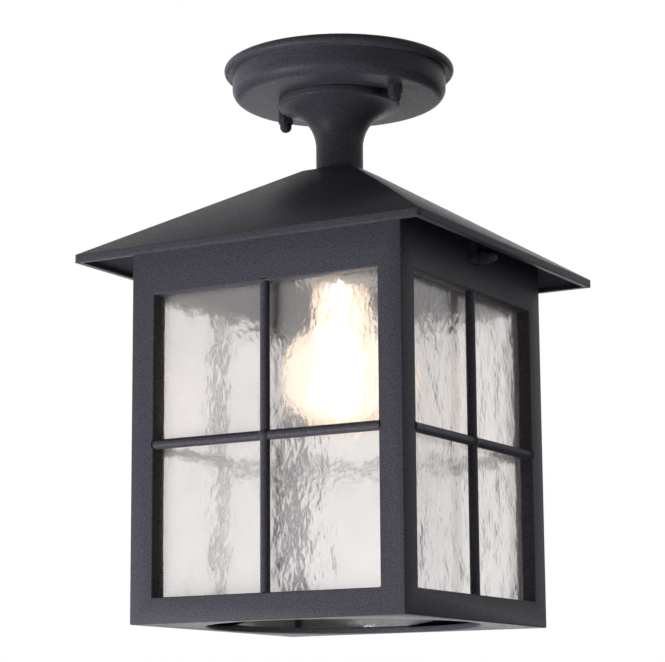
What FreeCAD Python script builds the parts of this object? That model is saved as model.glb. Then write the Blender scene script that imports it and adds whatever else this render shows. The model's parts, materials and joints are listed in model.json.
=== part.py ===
"""Porch ceiling lantern: a square cage of rippled glass under a pyramid roof, on a trumpet stem.

Units are millimetres.  The origin is the centre of the ceiling plane, +Z points up and the lantern
hangs below it.  The front is the -Y side.  The two ceiling studs lie on a line turned by STUD_ANGLE.
"""
import FreeCAD
import Part
import math
import os

# Ceiling plate: a pressed drum with a rolled rim.
PLATE_DEPTH = 18.7
PLATE_RADIUS = 57.0
PLATE_WALL = 1.5
PLATE_CORNER = 6.0
RIM_RADIUS = 61.4
RIM_HEIGHT = 5.4

# Stem: a cast flange and trumpet, clamped by a hollow threaded tube.
STEM_LENGTH = 39.5
FLANGE_RADIUS = 32.3
FLANGE_THICKNESS = 4.1
FLANGE_EDGE = 1.0
FLANGE_SEAT_WIDTH = 6.0
FLARE_RADIUS = 22.0
NECK_RADIUS = 12.5
STEM_WALL = 4.0
STEM_CORE_STEP = 1.2

# Roof: a thin cast pyramid with a shallow fascia.
EAVE_WIDTH = 200.0
APEX_WIDTH = 29.3
ROOF_RISE = 51.8
ROOF_WALL = 3.0
ROOF_HIP_RADIUS = 1.5
ROOF_CORNER_RADIUS = 2.5
FASCIA_DEPTH = 3.9
FASCIA_WALL = 3.5

# Cage: one casting with four crossed windows.
TOTAL_HEIGHT = 297.5
BODY_WIDTH = 156.6
BODY_WALL = 7.0
BODY_CORNER = 1.5
WINDOW_WIDTH = 130.1
WINDOW_HEIGHT = 154.1
WINDOW_DRAFT_DEG = 3.0
BOTTOM_RAIL = 13.0
BAR_DIAMETER = 5.0
BAR_SETBACK = 2.6
BAR_END = 1.0
BEAD_DIAMETER = 7.0
BASE_THICKNESS = 3.0
BASE_HOLE_RADIUS = 70.5

# Glass and the strips that hold it.
PANE_THICKNESS = 3.0
PANE_CORNER_GAP = 0.55
PANE_TOP_LAP = 4.0
STRIP_LEG = 8.0
STRIP_THICKNESS = 1.2
STRIP_ABOVE_PANE = 14.0
STRIP_SCREW_DROP = 6.0
STRIP_BOSS_RADIUS = 3.2

# Side fixings: a lug welded under the roof with an open slot, a cage stud, a washer and a dome nut.
LUG_WIDTH = 12.5
LUG_THICKNESS = 3.5
LUG_BOTTOM_BELOW_STUD = 3.4
SLOT_SIDE_GAP = 0.3
SIDE_STUD_Z = -113.6
STUD_BOSS_RADIUS = 5.0
STUD_BOSS_DEPTH = 5.0
STUD_BOSS_FLOOR = 1.0

# M4 and M3 hardware.
STUD_RADIUS = 2.0
M4_FLATS = 7.0
M4_NUT_THICKNESS = 3.2
DOME_NUT_LENGTH = 8.0
DOME_RADIUS = 3.2
DOME_SHOULDER_DEG = 35.0
DOME_CROWN_DEG = 65.0
M4_WASHER_RADIUS = 3.8
M4_WASHER_THICKNESS = 1.0
M3_RADIUS = 1.5
M3_HEAD_RADIUS = 2.6
M3_HEAD_THICKNESS = 1.8
STRIP_SCREW_GRIP = 3.0

# Ceiling bracket and what it carries.
BRACKET_THICKNESS = 1.5
BRACKET_WIDTH = 18.0
STUD_CIRCLE_RADIUS = 41.0
STUD_ANGLE = -14.6
CEILING_SCREW_CIRCLE = 50.8
CEILING_SCREW_HOLE = 2.6
CABLE_HOLE = 6.5
BRACKET_END = 7.0
EAR_WIDTH = 33.0
EAR_LENGTH = 24.0
EARTH_SCREW_X = 14.5
EARTH_HEAD_RADIUS = 3.5
EARTH_HEAD_THICKNESS = 1.6
EARTH_TAG_RADIUS = 3.6
EARTH_TAG_THICKNESS = 0.8
EARTH_TAG_WIDTH = 3.2
EARTH_BARREL_RADIUS = 1.8
EARTH_BARREL_START = 5.0
EARTH_BARREL_LENGTH = 5.0
EARTH_BARREL_BACK = 1.5
BLOCK_WIDTH = 31.0
BLOCK_LENGTH = 17.0
BLOCK_BASE = 4.0
BLOCK_Y = 23.0
WAY_PITCH = 10.4
WAY_WIDTH = 7.6
WAY_DROP = 6.0
WAY_HEIGHT = 10.1
WAY_TUBE_WIDTH = 4.8
WAY_BORE_RADIUS = 1.6
WAY_TUBE_INSET = 0.5
WAY_SCREW_RADIUS = 1.4
WAY_SCREW_SPREAD = 4.0
WAY_SCREW_SUNK = 0.4

# Threaded tube with its nuts and washers.
TUBE_RADIUS = 5.0
TUBE_BORE = 4.0
TUBE_ABOVE_NUT = 3.0
TUBE_NUT_FLATS = 14.0
TUBE_NUT_THICKNESS = 4.0
TUBE_WASHER_RADIUS = 9.5
TUBE_WASHER_THICKNESS = 1.3

# Screw lampholder.
HOLDER_GAP = 2.0
HOLDER_RADIUS = 19.5
HOLDER_WALL = 2.3
HOLDER_COLLAR = 10.5
HOLDER_COLLAR_HEIGHT = 3.0
HOLDER_COLLAR_WALL = 1.0
HOLDER_BROW_WIDTH = 6.0
HOLDER_BROW_DROP = 5.5
HOLDER_SHOULDER_DROP = 11.0
HOLDER_CAP_LENGTH = 13.5
HOLDER_CAP_RIM = 1.5
HOLDER_LENGTH = 49.5
HOLDER_THREAD = 7.3
HOLDER_THREAD_FLOOR = 0.4
HOLDER_LIP = 1.5
HOLDER_LIP_GAP = 1.0
HOLDER_RING = 1.2
HOLDER_RING_HEIGHT = 3.0
HOLDER_RING_SLOPE = 1.0
INSERT_DROP = 15.5
INSERT_THICKNESS = 8.5
SHELL_RADIUS = 13.25
SHELL_WALL = 0.5
SHELL_HOLE_GAP = 1.0
CONTACT_LENGTH = 9.0
CONTACT_WIDTH = 4.0
CONTACT_THICKNESS = 0.6
CONTACT_LIFT = 1.3
CONTACT_FOOT = 2.5
CONTACT_FOOT_LAP = 0.5
TERMINAL_X = 9.0
TERMINAL_DEPTH = 3.0
TERMINAL_SCREW_DROP = 5.0
TERMINAL_SCREW_SUNK = 0.5
TERMINAL_SCREW_START = 1.0

# Lamp with a screw cap.
LAMP_LENGTH = 105.0
BULB_RADIUS = 30.0
BULB_NECK = 14.0
BULB_WALL = 0.8
BULB_VOID_STEPS = 6
FILLET_VOID_STEPS = 3
BULB_IN_CAP = 8.0
BULB_TOP_WALL = 1.5
BULB_THROAT_STEP = 0.5
BULB_THROAT_SLOPE = 1.5
NECK_STRAIGHT = 7.0
CAP_LENGTH = 22.0
CAP_WALL = 0.4
CAP_SHOULDER_IN = 4.0
CAP_SHOULDER_DROP = 2.5
BUTTON_RADIUS = 4.5
BUTTON_HEIGHT = 1.2
BUTTON_INSET = 0.3
BUTTON_BEVEL = 0.9
INSULATOR_HEIGHT = 3.0
INSULATOR_IN_CAP = 1.5

# Leads held inside.
LEAD_RADIUS = 0.9
LEAD_BEND = 3.2
LEAD_SPLAY_BEND = 2.4
LEAD_OFFSET = 1.4
LEAD_IN_WAY = 7.5
LEAD_OUT_OF_WAY = 3.0
LEAD_OUT_OF_TUBE = 1.5
LEAD_TURN_DROP = 5.0
EARTH_LEAD_OUT_OF_WAY = 1.5
EARTH_LEAD_TURN_Y = 11.5
EARTH_LEAD_END_Y = 6.5

# Clearances.
SEAT = 0.3
RUNNING = 0.05
HOLE = 0.15
TOUCH = 0.1

# Levels worked out from the sizes above.
PLATE_BOTTOM = -PLATE_DEPTH
PLATE_FLOOR = PLATE_BOTTOM + PLATE_WALL
ROOF_TOP = PLATE_BOTTOM - STEM_LENGTH
EAVE_TOP = ROOF_TOP - ROOF_RISE
EAVE_BOTTOM = EAVE_TOP - FASCIA_DEPTH
ROOF_SLOPE = ROOF_RISE / (EAVE_WIDTH / 2 - APEX_WIDTH / 2)
ROOF_DROP = ROOF_WALL * math.hypot(1.0, ROOF_SLOPE)
ROOF_CEILING = ROOF_TOP - ROOF_WALL
BODY_HALF = BODY_WIDTH / 2
INNER_HALF = BODY_HALF - BODY_WALL
BODY_BOTTOM = -TOTAL_HEIGHT
BASE_TOP = BODY_BOTTOM + BASE_THICKNESS
WINDOW_BOTTOM = BODY_BOTTOM + BOTTOM_RAIL
WINDOW_TOP = WINDOW_BOTTOM + WINDOW_HEIGHT
CROSSING_Z = (WINDOW_BOTTOM + WINDOW_TOP) / 2
PANE_OUTER = INNER_HALF - SEAT
PANE_INNER = PANE_OUTER - PANE_THICKNESS
PANE_HALF_WIDTH = PANE_INNER - PANE_CORNER_GAP
PANE_BOTTOM = BASE_TOP + SEAT
PANE_TOP = WINDOW_TOP + PANE_TOP_LAP
STRIP_FACE = PANE_INNER - SEAT
STRIP_TOP = PANE_TOP + STRIP_ABOVE_PANE
STRIP_SCREW_Z = STRIP_TOP - STRIP_SCREW_DROP
STRIP_SCREW_OFFSET = STRIP_FACE - STRIP_LEG / 2 - STRIP_THICKNESS / 2
LUG_INNER = BODY_HALF + SEAT
LUG_OUTER = LUG_INNER + LUG_THICKNESS
LUG_BOTTOM = SIDE_STUD_Z - LUG_BOTTOM_BELOW_STUD
SLOT_WIDTH = 2 * (STUD_RADIUS + SLOT_SIDE_GAP)
STUD_FLOOR_X = INNER_HALF - STUD_BOSS_DEPTH + STUD_BOSS_FLOOR
TUBE_NUT_TOP = PLATE_FLOOR + TUBE_WASHER_THICKNESS + TUBE_NUT_THICKNESS
TUBE_TOP = TUBE_NUT_TOP + TUBE_ABOVE_NUT
TUBE_NUT_BOTTOM = ROOF_CEILING - TUBE_WASHER_THICKNESS - TUBE_NUT_THICKNESS
HOLDER_TOP = TUBE_NUT_BOTTOM - HOLDER_GAP
HOLDER_BOTTOM = HOLDER_TOP - HOLDER_LENGTH
TUBE_BOTTOM = HOLDER_TOP - HOLDER_THREAD
INSERT_TOP = HOLDER_TOP - INSERT_DROP
INSERT_BOTTOM = INSERT_TOP - INSERT_THICKNESS
LAMP_TOP = INSERT_BOTTOM - CONTACT_LIFT - CONTACT_THICKNESS - TOUCH
LAMP_BOTTOM = LAMP_TOP - LAMP_LENGTH
LAMP_CAP_TOP = LAMP_TOP - BUTTON_HEIGHT - INSULATOR_HEIGHT
LAMP_CAP_BOTTOM = LAMP_CAP_TOP - CAP_LENGTH
LAMP_CAP_RADIUS = SHELL_RADIUS - RUNNING
LAMP_SHOULDER = LAMP_CAP_RADIUS - CAP_SHOULDER_IN
INSERT_RADIUS = HOLDER_RADIUS - HOLDER_WALL - TOUCH
EARTH_TAG_LOW = -BRACKET_THICKNESS - EARTH_TAG_THICKNESS
EARTH_BARREL_Z = EARTH_TAG_LOW - EARTH_BARREL_RADIUS / 2 - TOUCH

CORNERS = {"front_left": 180.0, "front_right": 270.0, "back_right": 0.0, "back_left": 90.0}
SIDES = {"front": 0.0, "right": 90.0, "back": 180.0, "left": 270.0}
Z_AXIS = FreeCAD.Vector(0, 0, 1)
ORIGIN = FreeCAD.Vector(0, 0, 0)


def vec(x, y, z):
    """Short name for a vector."""
    return FreeCAD.Vector(x, y, z)


def turned(shape, degrees):
    """Copy of a shape turned about the Z axis."""
    copy = shape.copy()
    copy.rotate(ORIGIN, Z_AXIS, degrees)
    return copy


def moved(shape, x, y, z):
    """Copy of a shape moved by x, y, z."""
    copy = shape.copy()
    copy.translate(vec(x, y, z))
    return copy


def rod(radius, start, end):
    """Round bar between two points."""
    way = end.sub(start)
    return Part.makeCylinder(radius, way.Length, start, way)


def post(radius, low, high, x=0.0, y=0.0):
    """Upright round bar from level low to level high."""
    return Part.makeCylinder(radius, high - low, vec(x, y, low))


def block(x_low, x_high, y_low, y_high, z_low, z_high):
    """Box between two corners."""
    return Part.makeBox(x_high - x_low, y_high - y_low, z_high - z_low, vec(x_low, y_low, z_low))


def washer(radius, bore, low, high):
    """Flat ring on the Z axis."""
    return post(radius, low, high).cut(post(bore, low - 1, high + 1))


def hexagon(flats, low, high):
    """Hexagonal prism on the Z axis."""
    corner = flats / math.sqrt(3)
    points = []
    for step in range(7):
        angle = math.radians(60 * step)
        points.append(vec(corner * math.cos(angle), corner * math.sin(angle), low))
    return Part.Face(Part.makePolygon(points)).extrude(vec(0, 0, high - low))


def hex_nut(flats, bore, low, high):
    """Plain hexagonal nut."""
    return hexagon(flats, low, high).cut(post(bore, low - 1, high + 1))


def turned_profile(start, *steps):
    """Solid of revolution about Z.

    The outline is in (radius, height).  Each step is the end point of a line, or a pair of points,
    the middle and the end of an arc.
    """
    here = vec(start[0], 0, start[1])
    first = here
    edges = []
    for step in steps:
        if isinstance(step[0], tuple):
            middle = vec(step[0][0], 0, step[0][1])
            there = vec(step[1][0], 0, step[1][1])
            edges.append(Part.Arc(here, middle, there).toShape())
        else:
            there = vec(step[0], 0, step[1])
            edges.append(Part.LineSegment(here, there).toShape())
        here = there
    if here.distanceToPoint(first) > 1e-6:
        edges.append(Part.LineSegment(here, first).toShape())
    return Part.Face(Part.Wire(edges)).revolve(ORIGIN, Z_AXIS, 360)


def on_arc(centre, radius, degrees):
    """Point of an arc in (radius, height)."""
    angle = math.radians(degrees)
    return (centre[0] + radius * math.cos(angle), centre[1] + radius * math.sin(angle))


def square(half, z):
    """Corners of a square of half width half at level z, anticlockwise from above."""
    return [vec(-half, -half, z), vec(half, -half, z), vec(half, half, z), vec(-half, half, z)]


def frustum(near, far):
    """Solid with flat sides between two rings of four corners each."""
    rings = [near, far]
    for index in range(4):
        following = (index + 1) % 4
        rings.append([near[index], near[following], far[following], far[index]])
    faces = [Part.Face(Part.makePolygon(ring + [ring[0]])) for ring in rings]
    solid = Part.Solid(Part.Shell(faces))
    solid.fixTolerance(1e-6)
    if solid.Volume < 0:
        solid.reverse()
    return solid


def bent_rod(radius, points, bend):
    """Round rod along points, each corner a tangent arc of radius bend or as large as its runs allow."""
    edges = []
    here = points[0]
    for index in range(1, len(points) - 1):
        corner = points[index]
        back = points[index - 1].sub(corner)
        ahead = points[index + 1].sub(corner)
        room = 0.45 * min(back.Length, ahead.Length)
        back.normalize()
        ahead.normalize()
        half_turn = (math.pi - back.getAngle(ahead)) / 2
        reach = min(bend * math.tan(half_turn), room)
        arc_radius = reach / math.tan(half_turn)
        enter = corner.add(back * reach)
        leave = corner.add(ahead * reach)
        inward = back.add(ahead).normalize()
        middle = corner.add(inward * (arc_radius / math.cos(half_turn) - arc_radius))
        edges.append(Part.LineSegment(here, enter).toShape())
        edges.append(Part.Arc(enter, middle, leave).toShape())
        here = leave
    edges.append(Part.LineSegment(here, points[-1]).toShape())
    path = Part.Wire(edges)
    ring = Part.Wire([Part.makeCircle(radius, points[0], points[1].sub(points[0]))])
    return path.makePipeShell([ring], True, False)


def dome_nut():
    """M4 dome nut: its seat is at z=0 and its dome points up."""
    bore = STUD_RADIUS + RUNNING
    cap_base = DOME_NUT_LENGTH - DOME_RADIUS
    hexed = hexagon(M4_FLATS, 0, M4_NUT_THICKNESS)
    shoulder = on_arc((0, cap_base), DOME_RADIUS, DOME_SHOULDER_DEG)
    crown = on_arc((0, cap_base), DOME_RADIUS, DOME_CROWN_DEG)
    dome = turned_profile((0, 0), (DOME_RADIUS, 0), (DOME_RADIUS, cap_base), shoulder, crown,
                          (0, DOME_NUT_LENGTH))
    hollow = post(bore, -1, cap_base + DOME_RADIUS / 2)
    return hexed.fuse(dome).cut(hollow).removeSplitter()


def roof_inner_z(half):
    """Level of the roof's inner slope at a distance half from the centre."""
    return EAVE_TOP + (EAVE_WIDTH / 2 - half) * ROOF_SLOPE - ROOF_DROP


def stud_places():
    """The two ceiling studs, as (name, x, y)."""
    angle = math.radians(STUD_ANGLE)
    x = STUD_CIRCLE_RADIUS * math.cos(angle)
    y = STUD_CIRCLE_RADIUS * math.sin(angle)
    return [("right", x, y), ("left", -x, -y)]


# Ceiling fitting.

def mounting_bracket():
    """Steel strap with an ear for the terminal block."""
    half_length = STUD_CIRCLE_RADIUS + BRACKET_END
    half_width = BRACKET_WIDTH / 2
    strap = block(-half_length + half_width, half_length - half_width, -half_width, half_width,
                  -BRACKET_THICKNESS, 0)
    for sign in (-1, 1):
        strap = strap.fuse(post(half_width, -BRACKET_THICKNESS, 0, sign * (half_length - half_width)))
    strap = strap.fuse(block(-EAR_WIDTH / 2, EAR_WIDTH / 2, 0, half_width + EAR_LENGTH,
                             -BRACKET_THICKNESS, 0))
    holes = [(0, 0, CABLE_HOLE), (EARTH_SCREW_X, 0, STUD_RADIUS + HOLE),
             (WAY_PITCH / 2, BLOCK_Y, M3_RADIUS + HOLE)]
    for sign in (-1, 1):
        holes.append((sign * CEILING_SCREW_CIRCLE / 2, 0, CEILING_SCREW_HOLE))
        holes.append((sign * STUD_CIRCLE_RADIUS, 0, STUD_RADIUS + RUNNING))
    for x, y, radius in holes:
        strap = strap.cut(post(radius, -BRACKET_THICKNESS - 1, 1, x, y))
    return turned(strap.removeSplitter(), STUD_ANGLE)


def mount_studs():
    """Two M4 studs that hang from the bracket through the plate."""
    low = nut_seat_z() - DOME_NUT_LENGTH + DOME_RADIUS + TOUCH
    return Part.makeCompound([post(STUD_RADIUS, low, -TOUCH, x, y) for name, x, y in stud_places()])


def stud_locknuts():
    """Two M4 nuts that lock the studs under the bracket."""
    high = -BRACKET_THICKNESS
    nut = hex_nut(M4_FLATS, STUD_RADIUS + RUNNING, high - M4_NUT_THICKNESS, high)
    return Part.makeCompound([moved(nut, x, y, 0) for name, x, y in stud_places()])


def earth_tag():
    """Ring tag of the earth lead, with its crimp barrel."""
    high = -BRACKET_THICKNESS
    x = EARTH_SCREW_X
    far = EARTH_BARREL_START + EARTH_BARREL_LENGTH
    half = EARTH_TAG_WIDTH / 2
    ring = post(EARTH_TAG_RADIUS, EARTH_TAG_LOW, high, x)
    tongue = block(x - half, x + half, 0, EARTH_BARREL_START + EARTH_BARREL_BACK, EARTH_TAG_LOW, high)
    barrel = rod(EARTH_BARREL_RADIUS, vec(x, EARTH_BARREL_START, EARTH_BARREL_Z), vec(x, far, EARTH_BARREL_Z))
    bore = rod(LEAD_RADIUS + TOUCH, vec(x, EARTH_BARREL_START + EARTH_BARREL_BACK - 0.5, EARTH_BARREL_Z),
               vec(x, far + 1, EARTH_BARREL_Z))
    hole = post(STUD_RADIUS + HOLE, EARTH_TAG_LOW - 1, high + 1, x)
    tag = ring.fuse([tongue, barrel]).cut(hole).cut(bore)
    return turned(tag.cut(strap_space(x, far)).removeSplitter(), STUD_ANGLE)


def strap_space(x, far):
    """The strap's own space over the earth tag, which the round barrel is cut back from."""
    high = -BRACKET_THICKNESS
    reach = 2 * EARTH_BARREL_RADIUS
    return block(x - reach, x + reach, 0, far + 1, high, high + reach)


def earth_screw():
    """Pan-head screw that clamps the earth tag."""
    shank = post(STUD_RADIUS, EARTH_TAG_LOW - 1, -TOUCH, EARTH_SCREW_X)
    head = post(EARTH_HEAD_RADIUS, EARTH_TAG_LOW - EARTH_HEAD_THICKNESS, EARTH_TAG_LOW, EARTH_SCREW_X)
    return turned(shank.fuse(head).removeSplitter(), STUD_ANGLE)


def way_z():
    """Level of the terminal ways' axes."""
    return -BRACKET_THICKNESS - WAY_DROP


def way_places():
    """Distance of each terminal way from the block's middle."""
    return (-WAY_PITCH, 0.0, WAY_PITCH)


def way_screw_holes(x, radius):
    """Bores for the two screws of the way at x."""
    return [post(radius, way_z() - WAY_HEIGHT, way_z(), x, BLOCK_Y + sign * WAY_SCREW_SPREAD)
            for sign in (-1, 1)]


def terminal_block():
    """Three-way connector block under the bracket's ear, with a tower for each way."""
    high = -BRACKET_THICKNESS
    y_low = BLOCK_Y - BLOCK_LENGTH / 2
    y_high = BLOCK_Y + BLOCK_LENGTH / 2
    half = WAY_WIDTH / 2
    room = WAY_TUBE_WIDTH / 2 + TOUCH
    body = block(-BLOCK_WIDTH / 2, BLOCK_WIDTH / 2, y_low, y_high, high - BLOCK_BASE, high)
    for x in way_places():
        body = body.fuse(block(x - half, x + half, y_low, y_high, high - WAY_HEIGHT, high))
    for x in way_places():
        body = body.cut(block(x - room, x + room, y_low - 1, y_high + 1, way_z() - room, way_z() + room))
        body = body.cut(way_screw_holes(x, WAY_SCREW_RADIUS + TOUCH))
    screw_x = WAY_PITCH / 2
    body = body.cut(post(M3_RADIUS + HOLE, high - BLOCK_BASE - 1, high + 1, screw_x, BLOCK_Y))
    body = body.cut(post(M3_HEAD_RADIUS + HOLE, high - WAY_HEIGHT - 1, high - BLOCK_BASE, screw_x, BLOCK_Y))
    return turned(body.removeSplitter(), STUD_ANGLE)


def terminal_tubes():
    """Square brass tube of each way, bored for the lead and tapped for two screws."""
    tubes = []
    half = WAY_TUBE_WIDTH / 2
    y_low = BLOCK_Y - BLOCK_LENGTH / 2 + WAY_TUBE_INSET
    y_high = BLOCK_Y + BLOCK_LENGTH / 2 - WAY_TUBE_INSET
    for x in way_places():
        tube = block(x - half, x + half, y_low, y_high, way_z() - half, way_z() + half)
        tube = tube.cut(rod(WAY_BORE_RADIUS, vec(x, y_low - 1, way_z()), vec(x, y_high + 1, way_z())))
        tubes.append(turned(tube.cut(way_screw_holes(x, WAY_SCREW_RADIUS + RUNNING)), STUD_ANGLE))
    return Part.makeCompound(tubes)


def terminal_screws():
    """Two grub screws in each way."""
    screws = []
    high = way_z() - LEAD_RADIUS - TOUCH
    low = -BRACKET_THICKNESS - WAY_HEIGHT + WAY_SCREW_SUNK
    for x in way_places():
        for sign in (-1, 1):
            screw = post(WAY_SCREW_RADIUS, low, high, x, BLOCK_Y + sign * WAY_SCREW_SPREAD)
            screws.append(turned(screw, STUD_ANGLE))
    return Part.makeCompound(screws)


def block_screw():
    """Screw that holds the connector block to the bracket."""
    seat = -BRACKET_THICKNESS - BLOCK_BASE
    screw_x = WAY_PITCH / 2
    shank = post(M3_RADIUS, seat - 1, -TOUCH, screw_x, BLOCK_Y)
    head = post(M3_HEAD_RADIUS, seat - M3_HEAD_THICKNESS, seat, screw_x, BLOCK_Y)
    return turned(shank.fuse(head).removeSplitter(), STUD_ANGLE)


def lamp_lead(way_x, sign):
    """Lead from the way at way_x, down the threaded tube, to a lampholder terminal."""
    mouth_y = BLOCK_Y - BLOCK_LENGTH / 2
    way = turned_point(way_x, mouth_y + LEAD_IN_WAY, way_z())
    mouth = turned_point(way_x, mouth_y - LEAD_OUT_OF_WAY, way_z())
    # The lead crosses the tube's rim well above it, then turns down the bore.
    over = vec(sign * LEAD_OFFSET, 0, way_z())
    low = vec(sign * LEAD_OFFSET, 0, TUBE_BOTTOM - LEAD_OUT_OF_TUBE)
    terminal_top = vec(sign * TERMINAL_X, 0, TUBE_BOTTOM - LEAD_TURN_DROP)
    terminal = vec(sign * TERMINAL_X, 0, INSERT_TOP - TERMINAL_DEPTH)
    return bent_rod(LEAD_RADIUS, [way, mouth, over, low, terminal_top, terminal], LEAD_BEND)


def turned_point(x, y, z):
    """Point of the bracket's own frame, turned with it."""
    angle = math.radians(STUD_ANGLE)
    return vec(x * math.cos(angle) - y * math.sin(angle), x * math.sin(angle) + y * math.cos(angle), z)


def earth_lead():
    """Short lead from the right way to the earth tag."""
    mouth_y = BLOCK_Y - BLOCK_LENGTH / 2
    points = [turned_point(WAY_PITCH, mouth_y + LEAD_IN_WAY, way_z()),
              turned_point(WAY_PITCH, mouth_y - EARTH_LEAD_OUT_OF_WAY, way_z()),
              turned_point(EARTH_SCREW_X, EARTH_LEAD_TURN_Y, EARTH_BARREL_Z),
              turned_point(EARTH_SCREW_X, EARTH_LEAD_END_Y, EARTH_BARREL_Z)]
    return bent_rod(LEAD_RADIUS, points, LEAD_SPLAY_BEND)


def ceiling_plate():
    """Pressed drum with a rolled rim; its floor has the tube hole and the two stud holes."""
    bead = RIM_HEIGHT / 2
    bead_centre = (RIM_RADIUS - bead, -bead)
    outer_corner = (PLATE_RADIUS - PLATE_CORNER, PLATE_BOTTOM + PLATE_CORNER)
    inner_radius = PLATE_RADIUS - PLATE_WALL
    shell = turned_profile(
        (inner_radius, 0),
        (bead_centre[0], 0),
        (on_arc(bead_centre, bead, 0), on_arc(bead_centre, bead, -90)),
        (PLATE_RADIUS, -RIM_HEIGHT),
        (PLATE_RADIUS, outer_corner[1]),
        (on_arc(outer_corner, PLATE_CORNER, -45), on_arc(outer_corner, PLATE_CORNER, -90)),
        (TUBE_RADIUS + HOLE, PLATE_BOTTOM),
        (TUBE_RADIUS + HOLE, PLATE_FLOOR),
        (outer_corner[0], PLATE_FLOOR),
        (inner_radius, outer_corner[1]))
    for name, x, y in stud_places():
        shell = shell.cut(post(STUD_RADIUS + HOLE, PLATE_BOTTOM - 1, PLATE_FLOOR + 1, x, y))
    return shell


def nut_seat_z():
    """Level of the ceiling nuts' seats."""
    return PLATE_BOTTOM - M4_WASHER_THICKNESS - 2 * TOUCH


def nut_washers():
    """Washers between the plate and the two ceiling nuts."""
    high = PLATE_BOTTOM - TOUCH
    ring = washer(M4_WASHER_RADIUS, STUD_RADIUS + HOLE, high - M4_WASHER_THICKNESS, high)
    return Part.makeCompound([moved(ring, x, y, 0) for name, x, y in stud_places()])


def plate_nut(x, y):
    """Dome nut on a ceiling stud, dome down."""
    nut = dome_nut()
    nut.rotate(ORIGIN, vec(1, 0, 0), 180)
    return moved(turned(nut, STUD_ANGLE), x, y, nut_seat_z())


def stem():
    """Cast trumpet under a flange, cored from above."""
    flange_bottom = PLATE_BOTTOM - FLANGE_THICKNESS
    axis_r = NECK_RADIUS + FLARE_RADIUS
    flare_rise = math.sqrt(FLARE_RADIUS ** 2 - (axis_r - FLANGE_RADIUS) ** 2)
    centre = (axis_r, flange_bottom - flare_rise)
    start_angle = math.degrees(math.atan2(flare_rise, FLANGE_RADIUS - axis_r))
    outer = turned_profile(
        (0, PLATE_BOTTOM),
        (FLANGE_RADIUS - FLANGE_EDGE, PLATE_BOTTOM),
        (FLANGE_RADIUS, PLATE_BOTTOM - FLANGE_EDGE),
        (FLANGE_RADIUS, flange_bottom),
        (on_arc(centre, FLARE_RADIUS, (start_angle + 180) / 2), (NECK_RADIUS, centre[1])),
        (NECK_RADIUS, ROOF_TOP),
        (0, ROOF_TOP))
    core_neck = NECK_RADIUS - STEM_WALL
    core = turned_profile(
        (0, PLATE_BOTTOM + 1),
        (FLANGE_RADIUS - FLANGE_SEAT_WIDTH, PLATE_BOTTOM + 1),
        (FLANGE_RADIUS - FLANGE_SEAT_WIDTH, PLATE_BOTTOM - STEM_CORE_STEP),
        (core_neck + STEM_WALL, flange_bottom - STEM_WALL),
        (core_neck, centre[1]),
        (0, centre[1]))
    bore = post(TUBE_RADIUS + HOLE, ROOF_TOP - 1, PLATE_BOTTOM)
    return outer.cut(core).cut(bore)


def stem_tube():
    """Hollow threaded tube from the plate to the lampholder."""
    return washer(TUBE_RADIUS, TUBE_BORE, TUBE_BOTTOM, TUBE_TOP)


def tube_washer_top():
    """Washer on the plate's floor."""
    return washer(TUBE_WASHER_RADIUS, TUBE_RADIUS + HOLE, PLATE_FLOOR, PLATE_FLOOR + TUBE_WASHER_THICKNESS)


def tube_nut_top():
    """Nut that draws the stem up to the plate."""
    return hex_nut(TUBE_NUT_FLATS, TUBE_RADIUS + RUNNING, TUBE_NUT_TOP - TUBE_NUT_THICKNESS, TUBE_NUT_TOP)


def tube_washer_bottom():
    """Washer under the roof."""
    return washer(TUBE_WASHER_RADIUS, TUBE_RADIUS + HOLE, ROOF_CEILING - TUBE_WASHER_THICKNESS, ROOF_CEILING)


def tube_nut_bottom():
    """Nut that draws the roof up to the stem."""
    return hex_nut(TUBE_NUT_FLATS, TUBE_RADIUS + RUNNING, TUBE_NUT_BOTTOM,
                   TUBE_NUT_BOTTOM + TUBE_NUT_THICKNESS)


# Roof.

def roof_hull():
    """Outer form of the roof: four slopes over a fascia, with rounded hips and corners."""
    half = EAVE_WIDTH / 2
    fascia = block(-half, half, -half, half, EAVE_BOTTOM, EAVE_TOP)
    hull = fascia.fuse(frustum(square(half, EAVE_TOP), square(APEX_WIDTH / 2, ROOF_TOP))).removeSplitter()
    hips = [edge for edge in hull.Edges
            if EAVE_TOP + 1 < edge.CenterOfMass.z < ROOF_TOP - 1]
    hull = hull.makeFillet(ROOF_HIP_RADIUS, hips)
    plan = block(-half, half, -half, half, EAVE_BOTTOM, ROOF_TOP)
    uprights = [edge for edge in plan.Edges if EAVE_BOTTOM + 1 < edge.CenterOfMass.z < ROOF_TOP - 1]
    return hull.common(plan.makeFillet(ROOF_CORNER_RADIUS, uprights))


def roof():
    """Thin pyramid with a fascia, open below, bored for the threaded tube."""
    inner_eave = EAVE_WIDTH / 2 - FASCIA_WALL
    spring = roof_inner_z(inner_eave)
    inner_apex = EAVE_WIDTH / 2 - (ROOF_CEILING + ROOF_DROP - EAVE_TOP) / ROOF_SLOPE
    void = frustum(square(inner_eave, spring), square(inner_apex, ROOF_CEILING))
    mouth = block(-inner_eave, inner_eave, -inner_eave, inner_eave, EAVE_BOTTOM - 1, spring)
    shell = roof_hull().cut(void.fuse(mouth))
    return shell.cut(post(TUBE_RADIUS + HOLE, ROOF_CEILING - 1, ROOF_TOP + 1)).removeSplitter()


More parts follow.
